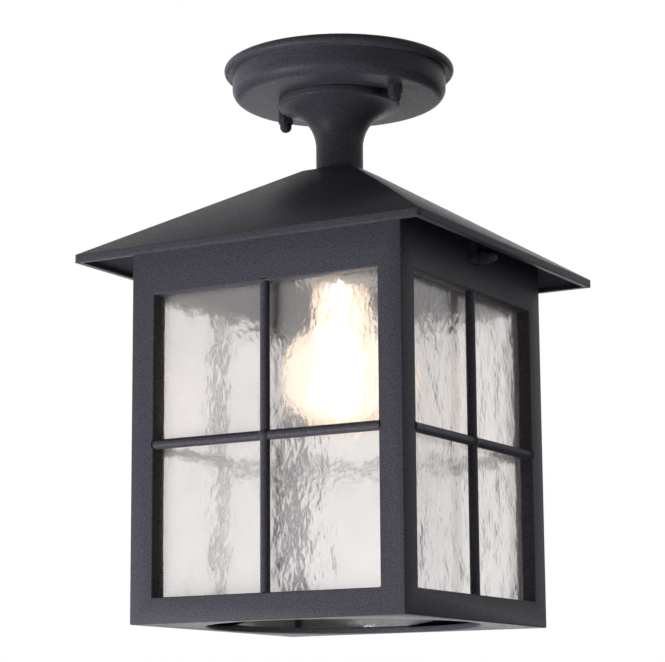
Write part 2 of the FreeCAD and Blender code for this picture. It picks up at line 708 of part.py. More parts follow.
def roof_lugs():
    """Two lugs welded to the roof's inner slopes, each slotted for a cage stud and open at the bottom."""
    half = LUG_WIDTH / 2
    chamfer = (LUG_WIDTH - SLOT_WIDTH) / 4
    plate = block(LUG_INNER, LUG_OUTER, -half, half, LUG_BOTTOM, roof_inner_z(LUG_INNER))
    foot = [edge for edge in plate.Edges
            if abs(edge.CenterOfMass.z - LUG_BOTTOM) < 1e-6 and abs(edge.CenterOfMass.y) > half - 1e-6]
    plate = plate.makeChamfer(chamfer, foot)
    slope = [vec(LUG_INNER, -half, roof_inner_z(LUG_INNER)), vec(LUG_OUTER, -half, roof_inner_z(LUG_OUTER)),
             vec(LUG_OUTER, -half, roof_inner_z(LUG_INNER))]
    plate = plate.cut(Part.Face(Part.makePolygon(slope + [slope[0]])).extrude(vec(0, LUG_WIDTH, 0)))
    slot = block(LUG_INNER - 1, LUG_OUTER + 1, -SLOT_WIDTH / 2, SLOT_WIDTH / 2, LUG_BOTTOM - 1, SIDE_STUD_Z)
    crown = rod(SLOT_WIDTH / 2, vec(LUG_INNER - 1, 0, SIDE_STUD_Z), vec(LUG_OUTER + 1, 0, SIDE_STUD_Z))
    lug = plate.cut(slot.fuse(crown))
    return Part.makeCompound([lug, turned(lug, 180)])


# Lampholder.

def lampholder_cap():
    """Domed cap of the lampholder, screwed to the tube."""
    low = HOLDER_TOP - HOLDER_CAP_LENGTH
    inner = HOLDER_RADIUS - HOLDER_WALL
    thread_low = HOLDER_TOP - HOLDER_THREAD - HOLDER_THREAD_FLOOR
    return turned_profile(
        (TUBE_RADIUS + RUNNING, HOLDER_TOP),
        (HOLDER_COLLAR, HOLDER_TOP),
        (HOLDER_COLLAR, HOLDER_TOP - HOLDER_COLLAR_HEIGHT),
        (HOLDER_COLLAR + HOLDER_BROW_WIDTH, HOLDER_TOP - HOLDER_BROW_DROP),
        (HOLDER_RADIUS, HOLDER_TOP - HOLDER_SHOULDER_DROP),
        (HOLDER_RADIUS, low),
        (inner, low),
        (inner, low + HOLDER_CAP_RIM),
        (HOLDER_COLLAR - HOLDER_COLLAR_WALL, thread_low),
        (TUBE_RADIUS + RUNNING, thread_low))


def lampholder_skirt():
    """Outer shell of the lampholder, with the lip that keeps the screw shell in."""
    high = HOLDER_TOP - HOLDER_CAP_LENGTH - TOUCH
    inner = HOLDER_RADIUS - HOLDER_WALL
    lip = LAMP_CAP_RADIUS + HOLDER_LIP_GAP
    ring = HOLDER_RADIUS + HOLDER_RING
    return turned_profile(
        (inner, high),
        (HOLDER_RADIUS, high),
        (HOLDER_RADIUS, HOLDER_BOTTOM + HOLDER_RING_HEIGHT + HOLDER_RING_SLOPE),
        (ring, HOLDER_BOTTOM + HOLDER_RING_HEIGHT),
        (ring, HOLDER_BOTTOM + HOLDER_RING_SLOPE),
        (HOLDER_RADIUS, HOLDER_BOTTOM),
        (lip, HOLDER_BOTTOM),
        (lip, HOLDER_BOTTOM + HOLDER_LIP),
        (inner, HOLDER_BOTTOM + HOLDER_LIP))


def lampholder_insert():
    """Ceramic disc that carries the contacts, with a hole and a side screw for each lead."""
    disc = post(INSERT_RADIUS, INSERT_BOTTOM, INSERT_TOP)
    screw_z = INSERT_TOP - TERMINAL_SCREW_DROP
    for sign in (-1, 1):
        disc = disc.cut(post(LEAD_RADIUS + TOUCH, INSERT_TOP - TERMINAL_DEPTH, INSERT_TOP + 1,
                             sign * TERMINAL_X))
        near = sign * (TERMINAL_X + TERMINAL_SCREW_START)
        far = sign * (INSERT_RADIUS + 1)
        disc = disc.cut(rod(WAY_SCREW_RADIUS + TOUCH, vec(near, 0, screw_z), vec(far, 0, screw_z)))
    return disc


def lampholder_screws():
    """Terminal screws in the sides of the insert."""
    screw_z = INSERT_TOP - TERMINAL_SCREW_DROP
    near = TERMINAL_X + TERMINAL_SCREW_START + TOUCH
    far = INSERT_RADIUS - TERMINAL_SCREW_SUNK
    return Part.makeCompound([rod(WAY_SCREW_RADIUS, vec(sign * near, 0, screw_z), vec(sign * far, 0, screw_z))
                              for sign in (-1, 1)])


def screw_shell():
    """Brass shell that the lamp's cap screws into."""
    high = INSERT_BOTTOM
    low = HOLDER_BOTTOM + HOLDER_LIP + TOUCH
    outer = SHELL_RADIUS + SHELL_WALL
    hole = CONTACT_LENGTH / 2 + SHELL_HOLE_GAP
    return turned_profile(
        (hole, high), (outer, high), (outer, low), (SHELL_RADIUS, low),
        (SHELL_RADIUS, high - SHELL_WALL), (hole, high - SHELL_WALL))


def centre_contact():
    """Sprung tongue that meets the lamp's button."""
    half = CONTACT_LENGTH / 2
    high = INSERT_BOTTOM
    side = CONTACT_WIDTH / 2
    root = CONTACT_FOOT - CONTACT_FOOT_LAP - half
    foot = block(-half, CONTACT_FOOT - half, -side, side, high - CONTACT_THICKNESS, high)
    points = [vec(root, 0, high - CONTACT_THICKNESS), vec(root, 0, high),
              vec(0, 0, high - CONTACT_LIFT), vec(half, 0, high - CONTACT_LIFT),
              vec(half, 0, high - CONTACT_LIFT - CONTACT_THICKNESS),
              vec(0, 0, high - CONTACT_LIFT - CONTACT_THICKNESS)]
    tongue = Part.Face(Part.makePolygon(points + [points[0]])).extrude(vec(0, CONTACT_WIDTH, 0))
    return foot.fuse(moved(tongue, 0, -side, 0)).removeSplitter()


# Lamp.

def bulb_arcs(shrink):
    """The bulb's belly arc and neck fillet arc, drawn in by shrink: centres, radii and their shared angle."""
    belly_centre = (0.0, LAMP_BOTTOM + BULB_RADIUS)
    belly = BULB_RADIUS - shrink
    neck = BULB_NECK - shrink
    neck_z = LAMP_CAP_BOTTOM - NECK_STRAIGHT
    rise = neck_z - belly_centre[1]
    # The fillet arc is tangent to the upright neck and to the round belly.
    fillet = (rise ** 2 + neck ** 2 - belly ** 2) / (2 * (belly - neck))
    fillet_centre = (neck + fillet, neck_z)
    turn = math.degrees(math.atan2(rise, fillet_centre[0]))
    return belly_centre, belly, fillet_centre, fillet, turn


def smooth_bulb_outline():
    """Outline of the bulb outside, from its neck to its foot, as two true arcs."""
    belly_centre, belly, fillet_centre, fillet, turn = bulb_arcs(0.0)
    return [(BULB_NECK, fillet_centre[1]),
            (on_arc(fillet_centre, fillet, 180 + turn / 2), on_arc(fillet_centre, fillet, 180 + turn)),
            (on_arc(belly_centre, belly, (turn - 90) / 2), (0, LAMP_BOTTOM))]


def stepped_bulb_outline(shrink):
    """Outline of the bulb's void in straight steps, since nothing shows it."""
    belly_centre, belly, fillet_centre, fillet, turn = bulb_arcs(shrink)
    outline = [(BULB_NECK - shrink, fillet_centre[1])]
    for step in range(1, FILLET_VOID_STEPS + 1):
        outline.append(on_arc(fillet_centre, fillet, 180 + turn * step / FILLET_VOID_STEPS))
    for step in range(1, BULB_VOID_STEPS):
        outline.append(on_arc(belly_centre, belly, turn - (turn + 90) * step / BULB_VOID_STEPS))
    outline.append((0, LAMP_BOTTOM + shrink))
    return outline


def bulb_solid(shrink, top, outline):
    """Solid of revolution of a bulb outline and its throat, up to level top inside the cap."""
    throat = LAMP_CAP_RADIUS - CAP_WALL - TOUCH - shrink
    slope_top = LAMP_CAP_BOTTOM - BULB_THROAT_STEP
    return turned_profile(
        (0, top), (throat, top), (throat, slope_top),
        (BULB_NECK - shrink, slope_top - BULB_THROAT_SLOPE), *outline)


def lamp_envelope():
    """Blown glass bulb with a thin wall."""
    top = LAMP_CAP_BOTTOM + BULB_IN_CAP
    void = bulb_solid(BULB_WALL, top - BULB_TOP_WALL, stepped_bulb_outline(BULB_WALL))
    return bulb_solid(0, top, smooth_bulb_outline()).cut(void)


def lamp_cap():
    """Thin metal screw cap of the lamp."""
    throat = LAMP_CAP_RADIUS - CAP_WALL
    slope_end = LAMP_CAP_TOP - CAP_SHOULDER_DROP
    return turned_profile(
        (LAMP_SHOULDER - CAP_WALL, LAMP_CAP_TOP), (LAMP_SHOULDER, LAMP_CAP_TOP), (LAMP_CAP_RADIUS, slope_end),
        (LAMP_CAP_RADIUS, LAMP_CAP_BOTTOM), (throat, LAMP_CAP_BOTTOM), (throat, slope_end - BUTTON_INSET))


def lamp_insulator():
    """Black glass between the cap and the contact."""
    radius = LAMP_SHOULDER - CAP_WALL - TOUCH
    low = LAMP_CAP_TOP - INSULATOR_IN_CAP
    return turned_profile(
        (0, low), (radius, low), (radius, LAMP_CAP_TOP),
        (BUTTON_RADIUS, LAMP_TOP - BUTTON_HEIGHT), (0, LAMP_TOP - BUTTON_HEIGHT))


def lamp_contact():
    """Solder button of the lamp."""
    low = LAMP_TOP - BUTTON_HEIGHT
    return turned_profile(
        (0, low), (BUTTON_RADIUS - BUTTON_INSET, low),
        (BUTTON_RADIUS - BUTTON_INSET - BUTTON_BEVEL, LAMP_TOP), (0, LAMP_TOP))


# Cage.

def window_cutter():
    """Drafted prism that opens the front window, wider at the face."""
    draft = BODY_WALL * math.tan(math.radians(WINDOW_DRAFT_DEG))
    rings = []
    for y, shrink in ((-BODY_HALF, 0.0), (-INNER_HALF, draft)):
        half = WINDOW_WIDTH / 2 - shrink
        low = WINDOW_BOTTOM + shrink
        high = WINDOW_TOP - shrink
        rings.append([vec(-half, y, low), vec(half, y, low), vec(half, y, high), vec(-half, y, high)])
    return frustum(rings[0], rings[1])


def window_cross():
    """Round bars that cross the front window, with a bead where they meet."""
    y = -BODY_HALF + BAR_SETBACK
    half = WINDOW_WIDTH / 2 + BAR_END
    upright = rod(BAR_DIAMETER / 2, vec(0, y, WINDOW_BOTTOM - BAR_END), vec(0, y, WINDOW_TOP + BAR_END))
    level = rod(BAR_DIAMETER / 2, vec(-half, y, CROSSING_Z), vec(half, y, CROSSING_Z))
    bead = Part.makeSphere(BEAD_DIAMETER / 2, vec(0, y, CROSSING_Z))
    return upright.fuse([level, bead])


def cage_top():
    """Level of the cage's top edge, just under the roof's inner slope."""
    return roof_inner_z(BODY_HALF) - SEAT * math.hypot(1.0, ROOF_SLOPE)


def strip_boss_place():
    """Where a corner strip is screwed, in the frame of the back right corner: on its X wall."""
    return STRIP_SCREW_OFFSET, STRIP_SCREW_Z


def cage_frame():
    """One casting: posts, rails, crossed bars, base flange and the bosses for strips and studs."""
    top = cage_top()
    body = block(-BODY_HALF, BODY_HALF, -BODY_HALF, BODY_HALF, BODY_BOTTOM, top)
    uprights = [edge for edge in body.Edges if abs(edge.Vertexes[0].Z - edge.Vertexes[-1].Z) > 1]
    body = body.makeFillet(BODY_CORNER, uprights)
    body = body.cut(block(-INNER_HALF, INNER_HALF, -INNER_HALF, INNER_HALF, BASE_TOP, top + 1))
    body = body.cut(post(BASE_HOLE_RADIUS, BODY_BOTTOM - 1, BASE_TOP + 1))
    for degrees in SIDES.values():
        body = body.cut(turned(window_cutter(), degrees))
    for degrees in SIDES.values():
        body = body.fuse(turned(window_cross(), degrees))
    boss_y, boss_z = strip_boss_place()
    boss = rod(STRIP_BOSS_RADIUS, vec(STRIP_FACE, boss_y, boss_z), vec(INNER_HALF + 1, boss_y, boss_z))
    hole = rod(M3_RADIUS + TOUCH, vec(STRIP_FACE - 1, boss_y, boss_z),
               vec(INNER_HALF + STRIP_SCREW_GRIP + 1, boss_y, boss_z))
    for degrees in CORNERS.values():
        body = body.fuse(turned(boss, degrees)).cut(turned(hole, degrees))
    stud_boss = rod(STUD_BOSS_RADIUS, vec(INNER_HALF - STUD_BOSS_DEPTH, 0, SIDE_STUD_Z),
                    vec(INNER_HALF + 1, 0, SIDE_STUD_Z))
    stud_hole = rod(STUD_RADIUS + RUNNING, vec(STUD_FLOOR_X, 0, SIDE_STUD_Z),
                    vec(BODY_HALF + 1, 0, SIDE_STUD_Z))
    for degrees in (0, 180):
        body = body.fuse(turned(stud_boss, degrees)).cut(turned(stud_hole, degrees))
    return body.removeSplitter()


def pane():
    """Front pane of rippled glass, standing on the base flange."""
    return block(-PANE_HALF_WIDTH, PANE_HALF_WIDTH, -PANE_OUTER, -PANE_INNER, PANE_BOTTOM, PANE_TOP)


def corner_strip():
    """Angle strip that presses two panes outwards at the back right corner."""
    low = BASE_TOP + SEAT
    inner = STRIP_FACE - STRIP_THICKNESS
    end = STRIP_FACE - STRIP_LEG
    angle = block(end, STRIP_FACE, end, STRIP_FACE, low, STRIP_TOP)
    angle = angle.cut(block(end - 1, inner, end - 1, inner, low - 1, STRIP_TOP + 1))
    boss_y, boss_z = strip_boss_place()
    hole = rod(M3_RADIUS + HOLE, vec(inner - 1, boss_y, boss_z), vec(STRIP_FACE + 1, boss_y, boss_z))
    return angle.cut(hole)


def strip_screws():
    """One screw for each corner strip."""
    boss_y, boss_z = strip_boss_place()
    seat = STRIP_FACE - STRIP_THICKNESS
    shank = rod(M3_RADIUS, vec(seat - 1, boss_y, boss_z), vec(INNER_HALF + STRIP_SCREW_GRIP, boss_y, boss_z))
    head = rod(M3_HEAD_RADIUS, vec(seat - M3_HEAD_THICKNESS, boss_y, boss_z), vec(seat, boss_y, boss_z))
    screw = shank.fuse(head).removeSplitter()
    return Part.makeCompound([turned(screw, degrees) for degrees in CORNERS.values()])


def side_nut_seat():
    """Distance of the side nuts' seats from the centre."""
    return LUG_OUTER + SEAT + M4_WASHER_THICKNESS + TOUCH


def cage_studs():
    """Two M4 studs fixed in the cage's top rail, through the roof's slots."""
    end = side_nut_seat() + DOME_NUT_LENGTH - DOME_RADIUS - TOUCH
    stud = rod(STUD_RADIUS, vec(STUD_FLOOR_X + TOUCH, 0, SIDE_STUD_Z), vec(end, 0, SIDE_STUD_Z))
    return Part.makeCompound([stud, turned(stud, 180)])


def side_washers():
    """Washers between the lugs and the side nuts."""
    low = LUG_OUTER + SEAT
    ring = washer(M4_WASHER_RADIUS, STUD_RADIUS + HOLE, low, low + M4_WASHER_THICKNESS)
    ring.rotate(ORIGIN, vec(0, 1, 0), 90)
    ring = moved(ring, 0, 0, SIDE_STUD_Z)
    return Part.makeCompound([ring, turned(ring, 180)])


def side_nut(degrees):
    """Dome nut on a cage stud, dome outwards."""
    nut = dome_nut()
    nut.rotate(ORIGIN, vec(0, 1, 0), 90)
    return turned(moved(nut, side_nut_seat(), 0, SIDE_STUD_Z), degrees)


def all_parts():
    """Every sub-part by its node name."""
    parts = {
        "mounting_bracket": mounting_bracket(),
        "mount_studs": mount_studs(),
        "stud_locknuts": stud_locknuts(),
        "earth_tag": earth_tag(),
        "earth_screw": earth_screw(),
        "terminal_block": terminal_block(),
        "terminal_tubes": terminal_tubes(),
        "terminal_screws": terminal_screws(),
        "block_screw": block_screw(),
        "live_lead": lamp_lead(0, 1),
        "neutral_lead": lamp_lead(-WAY_PITCH, -1),
        "earth_lead": earth_lead(),
        "ceiling_plate": ceiling_plate(),
        "nut_washers": nut_washers(),
        "stem": stem(),
        "stem_tube": stem_tube(),
        "tube_washer_top": tube_washer_top(),
        "tube_nut_top": tube_nut_top(),
        "tube_washer_bottom": tube_washer_bottom(),
        "tube_nut_bottom": tube_nut_bottom(),
        "roof": roof(),
        "roof_lugs": roof_lugs(),
        "lampholder_cap": lampholder_cap(),
        "lampholder_skirt": lampholder_skirt(),
        "lampholder_insert": lampholder_insert(),
        "lampholder_screws": lampholder_screws(),
        "screw_shell": screw_shell(),
        "centre_contact": centre_contact(),
        "lamp_envelope": lamp_envelope(),
        "lamp_cap": lamp_cap(),
        "lamp_insulator": lamp_insulator(),
        "lamp_contact": lamp_contact(),
        "cage_frame": cage_frame(),
        "strip_screws": strip_screws(),
        "cage_studs": cage_studs(),
        "side_washers": side_washers(),
        "side_nut_right": side_nut(0),
        "side_nut_left": side_nut(180),
    }
    for name, x, y in stud_places():
        parts["plate_nut_" + name] = plate_nut(x, y)
    for name, degrees in SIDES.items():
        parts["pane_" + name] = turned(pane(), degrees)
    for name, degrees in CORNERS.items():
        parts["corner_strip_" + name] = turned(corner_strip(), degrees)
    return parts


def main():
    """Build every sub-part, report it and write its STEP file."""
    os.makedirs("parts", exist_ok=True)
    for name, shape in all_parts().items():
        if not shape.isValid():
            raise ValueError(name + " is not a valid shape")
        shape.exportStep("parts/" + name + ".step")
        print(name, "solids", len(shape.Solids), "volume mm3", round(shape.Volume, 1))


main()
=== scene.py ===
"""Porch ceiling lantern: its visual model, finishes and studio.

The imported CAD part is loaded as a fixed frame. The castings, the glass, the dome nuts and the lamp are
modelled again with softened edges and real ripples, each in the place of the node it stands for, and
every other node keeps its mesh and gets its finish. Sizes are in millimetres and are turned into metres
where a piece is made. The front is the -Y side and the ceiling plane is Z = 0.
"""
from __future__ import annotations

import json
import logging
import math
from contextlib import contextmanager
from dataclasses import dataclass
from enum import Enum
from typing import Callable, Iterator, Sequence

import bmesh
import bpy
from mathutils import Matrix, Vector

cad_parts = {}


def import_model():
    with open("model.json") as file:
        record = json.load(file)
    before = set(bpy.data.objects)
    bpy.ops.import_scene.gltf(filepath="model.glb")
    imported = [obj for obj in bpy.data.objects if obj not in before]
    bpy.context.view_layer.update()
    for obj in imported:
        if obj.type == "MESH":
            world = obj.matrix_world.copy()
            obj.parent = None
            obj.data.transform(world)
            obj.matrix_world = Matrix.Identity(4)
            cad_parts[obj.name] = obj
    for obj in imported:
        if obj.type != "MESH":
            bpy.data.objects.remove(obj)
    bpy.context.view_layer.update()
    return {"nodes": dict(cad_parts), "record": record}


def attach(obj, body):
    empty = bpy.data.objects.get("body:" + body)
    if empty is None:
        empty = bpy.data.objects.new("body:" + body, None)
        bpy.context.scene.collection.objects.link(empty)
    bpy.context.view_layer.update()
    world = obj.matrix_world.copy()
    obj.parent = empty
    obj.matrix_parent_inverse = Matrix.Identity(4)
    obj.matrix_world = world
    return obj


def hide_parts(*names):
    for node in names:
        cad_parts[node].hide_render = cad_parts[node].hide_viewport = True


log = logging.getLogger("lantern")

Triple = tuple[float, float, float]
Colour = Triple

MM = 0.001
SAME_PLACE = 1e-3  # millimetres within which two points count as one
WELD = 1e-7  # metres within which points are merged
PAST = 1.0  # how far a cutter reaches past what it cuts, in millimetres
SMOOTH_ANGLE = 32.0  # degrees above which an edge stays sharp

# Sizes in millimetres that more than one piece shares.
TUBE_BORE = 5.15
STUD_CIRCLE = 41.0
STUD_ANGLE = -14.6
SIDE_STUD_LEVEL = -113.6
STRIP_FACE = 67.7
STRIP_SCREW = (63.1, -118.4)


class Body(Enum):
    """Moving bodies of the frame."""

    FITTING = "ceiling_fitting"
    CAGE = "cage"
    LAMP = "lamp"
    PLATE_NUT_RIGHT = "plate_nut_right"
    PLATE_NUT_LEFT = "plate_nut_left"
    SIDE_NUT_RIGHT = "side_nut_right"
    SIDE_NUT_LEFT = "side_nut_left"


class Kind(Enum):
    """Element kinds that are picked in edit mode."""

    FACES = "FACE"
    EDGES = "EDGE"
    POINTS = "VERT"


# ---------------------------------------------------------------- finishes


class Recipe:
    """Node tree of one material, with short calls for the nodes that the finishes share."""

    def __init__(self, name: str) -> None:
        """Start an empty material with one shader.

        Args:
            name: the material's name.
        """
        self.material = bpy.data.materials.new(name)
        self.material.use_nodes = True
        self.tree = self.material.node_tree
        self.shader = self.tree.nodes["Principled BSDF"]
        self.place = self.tree.nodes.new("ShaderNodeTexCoord").outputs["Object"]

    def put(self, socket: str, value: object) -> None:
        """Set a constant on the shader's own socket."""
        self.shader.inputs[socket].default_value = value

    def feed(self, socket: str, source: bpy.types.NodeSocket) -> None:
        """Link a source to a socket of the shader."""
        self.tree.links.new(source, self.shader.inputs[socket])

    def noise(self, size: float, detail: float = 2.0, stretch: Triple = (1.0, 1.0, 1.0)) -> bpy.types.NodeSocket:
        """Noise over the piece's own place.

        Args:
            size: width of its features in millimetres.
            detail: octaves of finer noise.
            stretch: how many times longer the features are along X, Y and Z.

        Returns:
            The noise's factor.
        """
        mapping = self.tree.nodes.new("ShaderNodeMapping")
        mapping.inputs["Scale"].default_value = [1.0 / s for s in stretch]
        texture = self.tree.nodes.new("ShaderNodeTexNoise")
        texture.inputs["Scale"].default_value = 1.0 / (size * MM)
        texture.inputs["Detail"].default_value = detail
        self.tree.links.new(self.place, mapping.inputs["Vector"])
        self.tree.links.new(mapping.outputs["Vector"], texture.inputs["Vector"])
        return texture.outputs["Fac"]

    def tones(self, factor: bpy.types.NodeSocket, dark: Colour, pale: Colour) -> bpy.types.NodeSocket:
        """Colour between two tones, by a factor.

        Args:
            factor: what chooses between them.
            dark: tone at its low end.
            pale: tone at its high end.

        Returns:
            The colour.
        """
        ramp = self.tree.nodes.new("ShaderNodeValToRGB")
        low, high = ramp.color_ramp.elements
        low.position, low.color = 0.3, (*dark, 1.0)
        high.position, high.color = 0.7, (*pale, 1.0)
        self.tree.links.new(factor, ramp.inputs["Fac"])
        return ramp.outputs["Color"]

    def span(self, factor: bpy.types.NodeSocket, low: float, high: float) -> bpy.types.NodeSocket:
        """Number between two ends, by a factor.

        Args:
            factor: what chooses between them.
            low: the number where the factor is 0.3.
            high: the number where the factor is 0.7.

        Returns:
            The number.
        """
        reach = self.tree.nodes.new("ShaderNodeMapRange")
        for socket, value in (("From Min", 0.3), ("From Max", 0.7), ("To Min", low), ("To Max", high)):
            reach.inputs[socket].default_value = value
        self.tree.links.new(factor, reach.inputs["Value"])
        return reach.outputs["Result"]

    def relief(self, height: bpy.types.NodeSocket, depth: float, over: bpy.types.NodeSocket | None = None
               ) -> bpy.types.NodeSocket:
        """Bump of a real depth.

        Args:
            height: what raises the surface.
            depth: height of the relief in millimetres.
            over: a normal that this relief is added to.

        Returns:
            The normal.
        """
        bump = self.tree.nodes.new("ShaderNodeBump")
        bump.inputs["Strength"].default_value = 1.0
        bump.inputs["Distance"].default_value = depth * MM
        self.tree.links.new(height, bump.inputs["Height"])
        if over is not None:
            self.tree.links.new(over, bump.inputs["Normal"])
        return bump.outputs["Normal"]


@dataclass(frozen=True)
class Finish:
    """A finish with two close tones, a varied gloss and a fine relief."""

    name: str
    dark: Colour
    pale: Colour
    grain: float = 1.0
    relief: float = 0.01
    gloss: tuple[float, float] = (0.3, 0.45)
    metallic: float = 0.0
    specular: float = 0.5
    stretch: Triple = (1.0, 1.0, 1.0)
    cloud: float = 14.0

    def make(self) -> bpy.types.Material:
        """Build the material and return it."""
        recipe = Recipe(self.name)
        recipe.put("Metallic", self.metallic)
        recipe.put("Specular IOR Level", self.specular)
        self.surface(recipe)
        return recipe.material

    def surface(self, recipe: Recipe) -> None:
        """Lay broad tones under a fine grain."""
        fine = recipe.noise(self.grain, 3.0, self.stretch)
        broad = recipe.noise(self.grain * self.cloud, 2.0)
        recipe.feed("Base Color", recipe.tones(broad, self.dark, self.pale))
        recipe.feed("Roughness", recipe.span(fine, *self.gloss))
        recipe.feed("Normal", recipe.relief(fine, self.relief))


@dataclass(frozen=True)
class PowderCoat(Finish):
    """Black powder coat: a speckle over a broader orange peel."""

    peel: float = 3.0

    def surface(self, recipe: Recipe) -> None:
        """Lay the speckle over the peel."""
        speckle = recipe.noise(self.grain, 4.0)
        peel = recipe.noise(self.grain * self.peel, 1.0)
        recipe.feed("Base Color", recipe.tones(speckle, self.dark, self.pale))
        recipe.feed("Roughness", recipe.span(peel, *self.gloss))
        recipe.feed("Normal", recipe.relief(speckle, self.relief, recipe.relief(peel, self.relief)))


@dataclass(frozen=True)
class RippledGlass(Finish):
    """Clear glass with a hammered grain over the modelled ripples."""

    hammer: float = 2.6
    hammer_depth: float = 0.2
    clear: float = 0.89

    def surface(self, recipe: Recipe) -> None:
        """Let the light through, and lay a fine grain over the hammer marks."""
        super().surface(recipe)
        marks = recipe.noise(self.hammer, 1.0, (1.0, 1.0, 1.5))
        fine = recipe.noise(self.grain, 1.0)
        recipe.feed("Normal", recipe.relief(fine, self.relief, recipe.relief(marks, self.hammer_depth)))
        recipe.put("Transmission Weight", self.clear)
        recipe.put("IOR", 1.5)


@dataclass(frozen=True)
class LitGlass(Finish):
    """Frosted glass that glows and lets some of the light behind it through."""

    glow: Colour = (1.0, 0.72, 0.5)
    strength: float = 0.2
    clear: float = 0.8

    def surface(self, recipe: Recipe) -> None:
        """Frost it and light it."""
        super().surface(recipe)
        recipe.put("Transmission Weight", self.clear)
        recipe.put("IOR", 1.5)
        recipe.put("Emission Color", (*self.glow, 1.0))
        recipe.put("Emission Strength", self.strength)


CAPSULE = "lamp_capsule"
BLACK = ((0.032, 0.030, 0.038), (0.080, 0.0755, 0.094))
FINISHES: dict[str, Finish] = {
    "coated_casting": PowderCoat("powder_coat_on_casting", *BLACK, 0.7, 0.05, (0.33, 0.44), specular=0.07),
    "coated_steel": PowderCoat("powder_coat_on_steel", *BLACK, 0.7, 0.04, (0.31, 0.42), specular=0.07),
    "coated_strip": PowderCoat("powder_coat_on_strip", *BLACK, 0.7, 0.04, (0.31, 0.42), specular=0.07),
    "rippled_glass": RippledGlass("rippled_glass", (0.97, 0.95, 0.945), (1.0, 0.98, 0.975), 0.9, 0.03, (0.13, 0.19)),
    "zinc_steel": Finish("zinc_plate", (0.52, 0.53, 0.55), (0.68, 0.69, 0.7), 0.6, 0.008, (0.25, 0.42), 1.0),
    "brass": Finish("brass", (0.58, 0.42, 0.17), (0.74, 0.56, 0.25), 0.7, 0.008, (0.22, 0.4), 1.0),
    "nickel_brass": Finish("nickel_plate", (0.58, 0.56, 0.52), (0.72, 0.7, 0.65), 0.7, 0.006, (0.2, 0.36), 1.0),
    "white_plastic": Finish("white_plastic", (0.74, 0.74, 0.71), (0.8, 0.8, 0.77), 0.5, 0.01, (0.35, 0.5)),
    "black_phenolic": Finish("black_phenolic", (0.014, 0.013, 0.012), (0.03, 0.028, 0.026), 0.6, 0.01, (0.25, 0.4)),
    "glazed_porcelain": Finish("glazed_porcelain", (0.72, 0.7, 0.67), (0.8, 0.78, 0.75), 1.6, 0.015, (0.12, 0.25)),
    "steatite": Finish("steatite", (0.7, 0.66, 0.58), (0.78, 0.75, 0.67), 0.5, 0.02, (0.45, 0.65)),
    "opal_glass": LitGlass("pearl_glass", (0.93, 0.9, 0.86), (0.97, 0.95, 0.92), gloss=(0.4, 0.5)),
    CAPSULE: LitGlass("glowing_capsule", (0.9, 0.88, 0.84), (0.95, 0.93, 0.9), gloss=(0.1, 0.2),
                      glow=(1.0, 0.92, 0.82), strength=5.5, clear=0.0),
    "brown_sleeve": Finish("brown_sleeve", (0.13, 0.055, 0.028), (0.17, 0.075, 0.038), 0.8, 0.01),
    "blue_sleeve": Finish("blue_sleeve", (0.02, 0.09, 0.3), (0.03, 0.12, 0.38), 0.8, 0.01),
    "green_yellow_sleeve": Finish("green_yellow_sleeve", (0.04, 0.24, 0.05), (0.66, 0.55, 0.05), 0.3, 0.01),
}


class PaintShop:
    """Makes each finish once and puts it on pieces and nodes."""

    def __init__(self) -> None:
        """Start with no finish made."""
        self.made: dict[str, bpy.types.Material] = {}

    def dress(self, piece: bpy.types.Object, slot: str) -> None:
        """Put the finish of a record's slot all over a piece.

        Args:
            piece: the piece or node.
            slot: the record's material slot.
        """
        if slot not in self.made:
            self.made[slot] = FINISHES[slot].make()
        if not piece.material_slots:
            piece.data.materials.append(self.made[slot])
        for place in piece.material_slots:
            place.material = self.made[slot]


# ---------------------------------------------------------------- modelling bench


@dataclass(frozen=True)
class Corner:
    """Corner of a turned outline: distance from the axis, height, and how far its rounding reaches."""

    out: float
    up: float
    soft: float = 0.0

    @property
    def place(self) -> Vector:
        """The corner in metres, in the XZ plane."""
        return Vector((self.out, 0.0, self.up)) * MM


def arc(centre: tuple[float, float], radius: float, start: float, end: float, steps: int) -> list[Corner]:
    """Corners along an arc, both ends among them.

    Args:
        centre: its centre, as distance from the axis and height.
        radius: its radius.
        start: angle of its first corner in degrees.
        end: angle of its last corner in degrees.
        steps: number of runs between them.

    Returns:
        The corners in order.
    """
    turns = [math.radians(start + (end - start) * step / steps) for step in range(steps + 1)]
    return [Corner(centre[0] + radius * math.cos(a), centre[1] + radius * math.sin(a)) for a in turns]


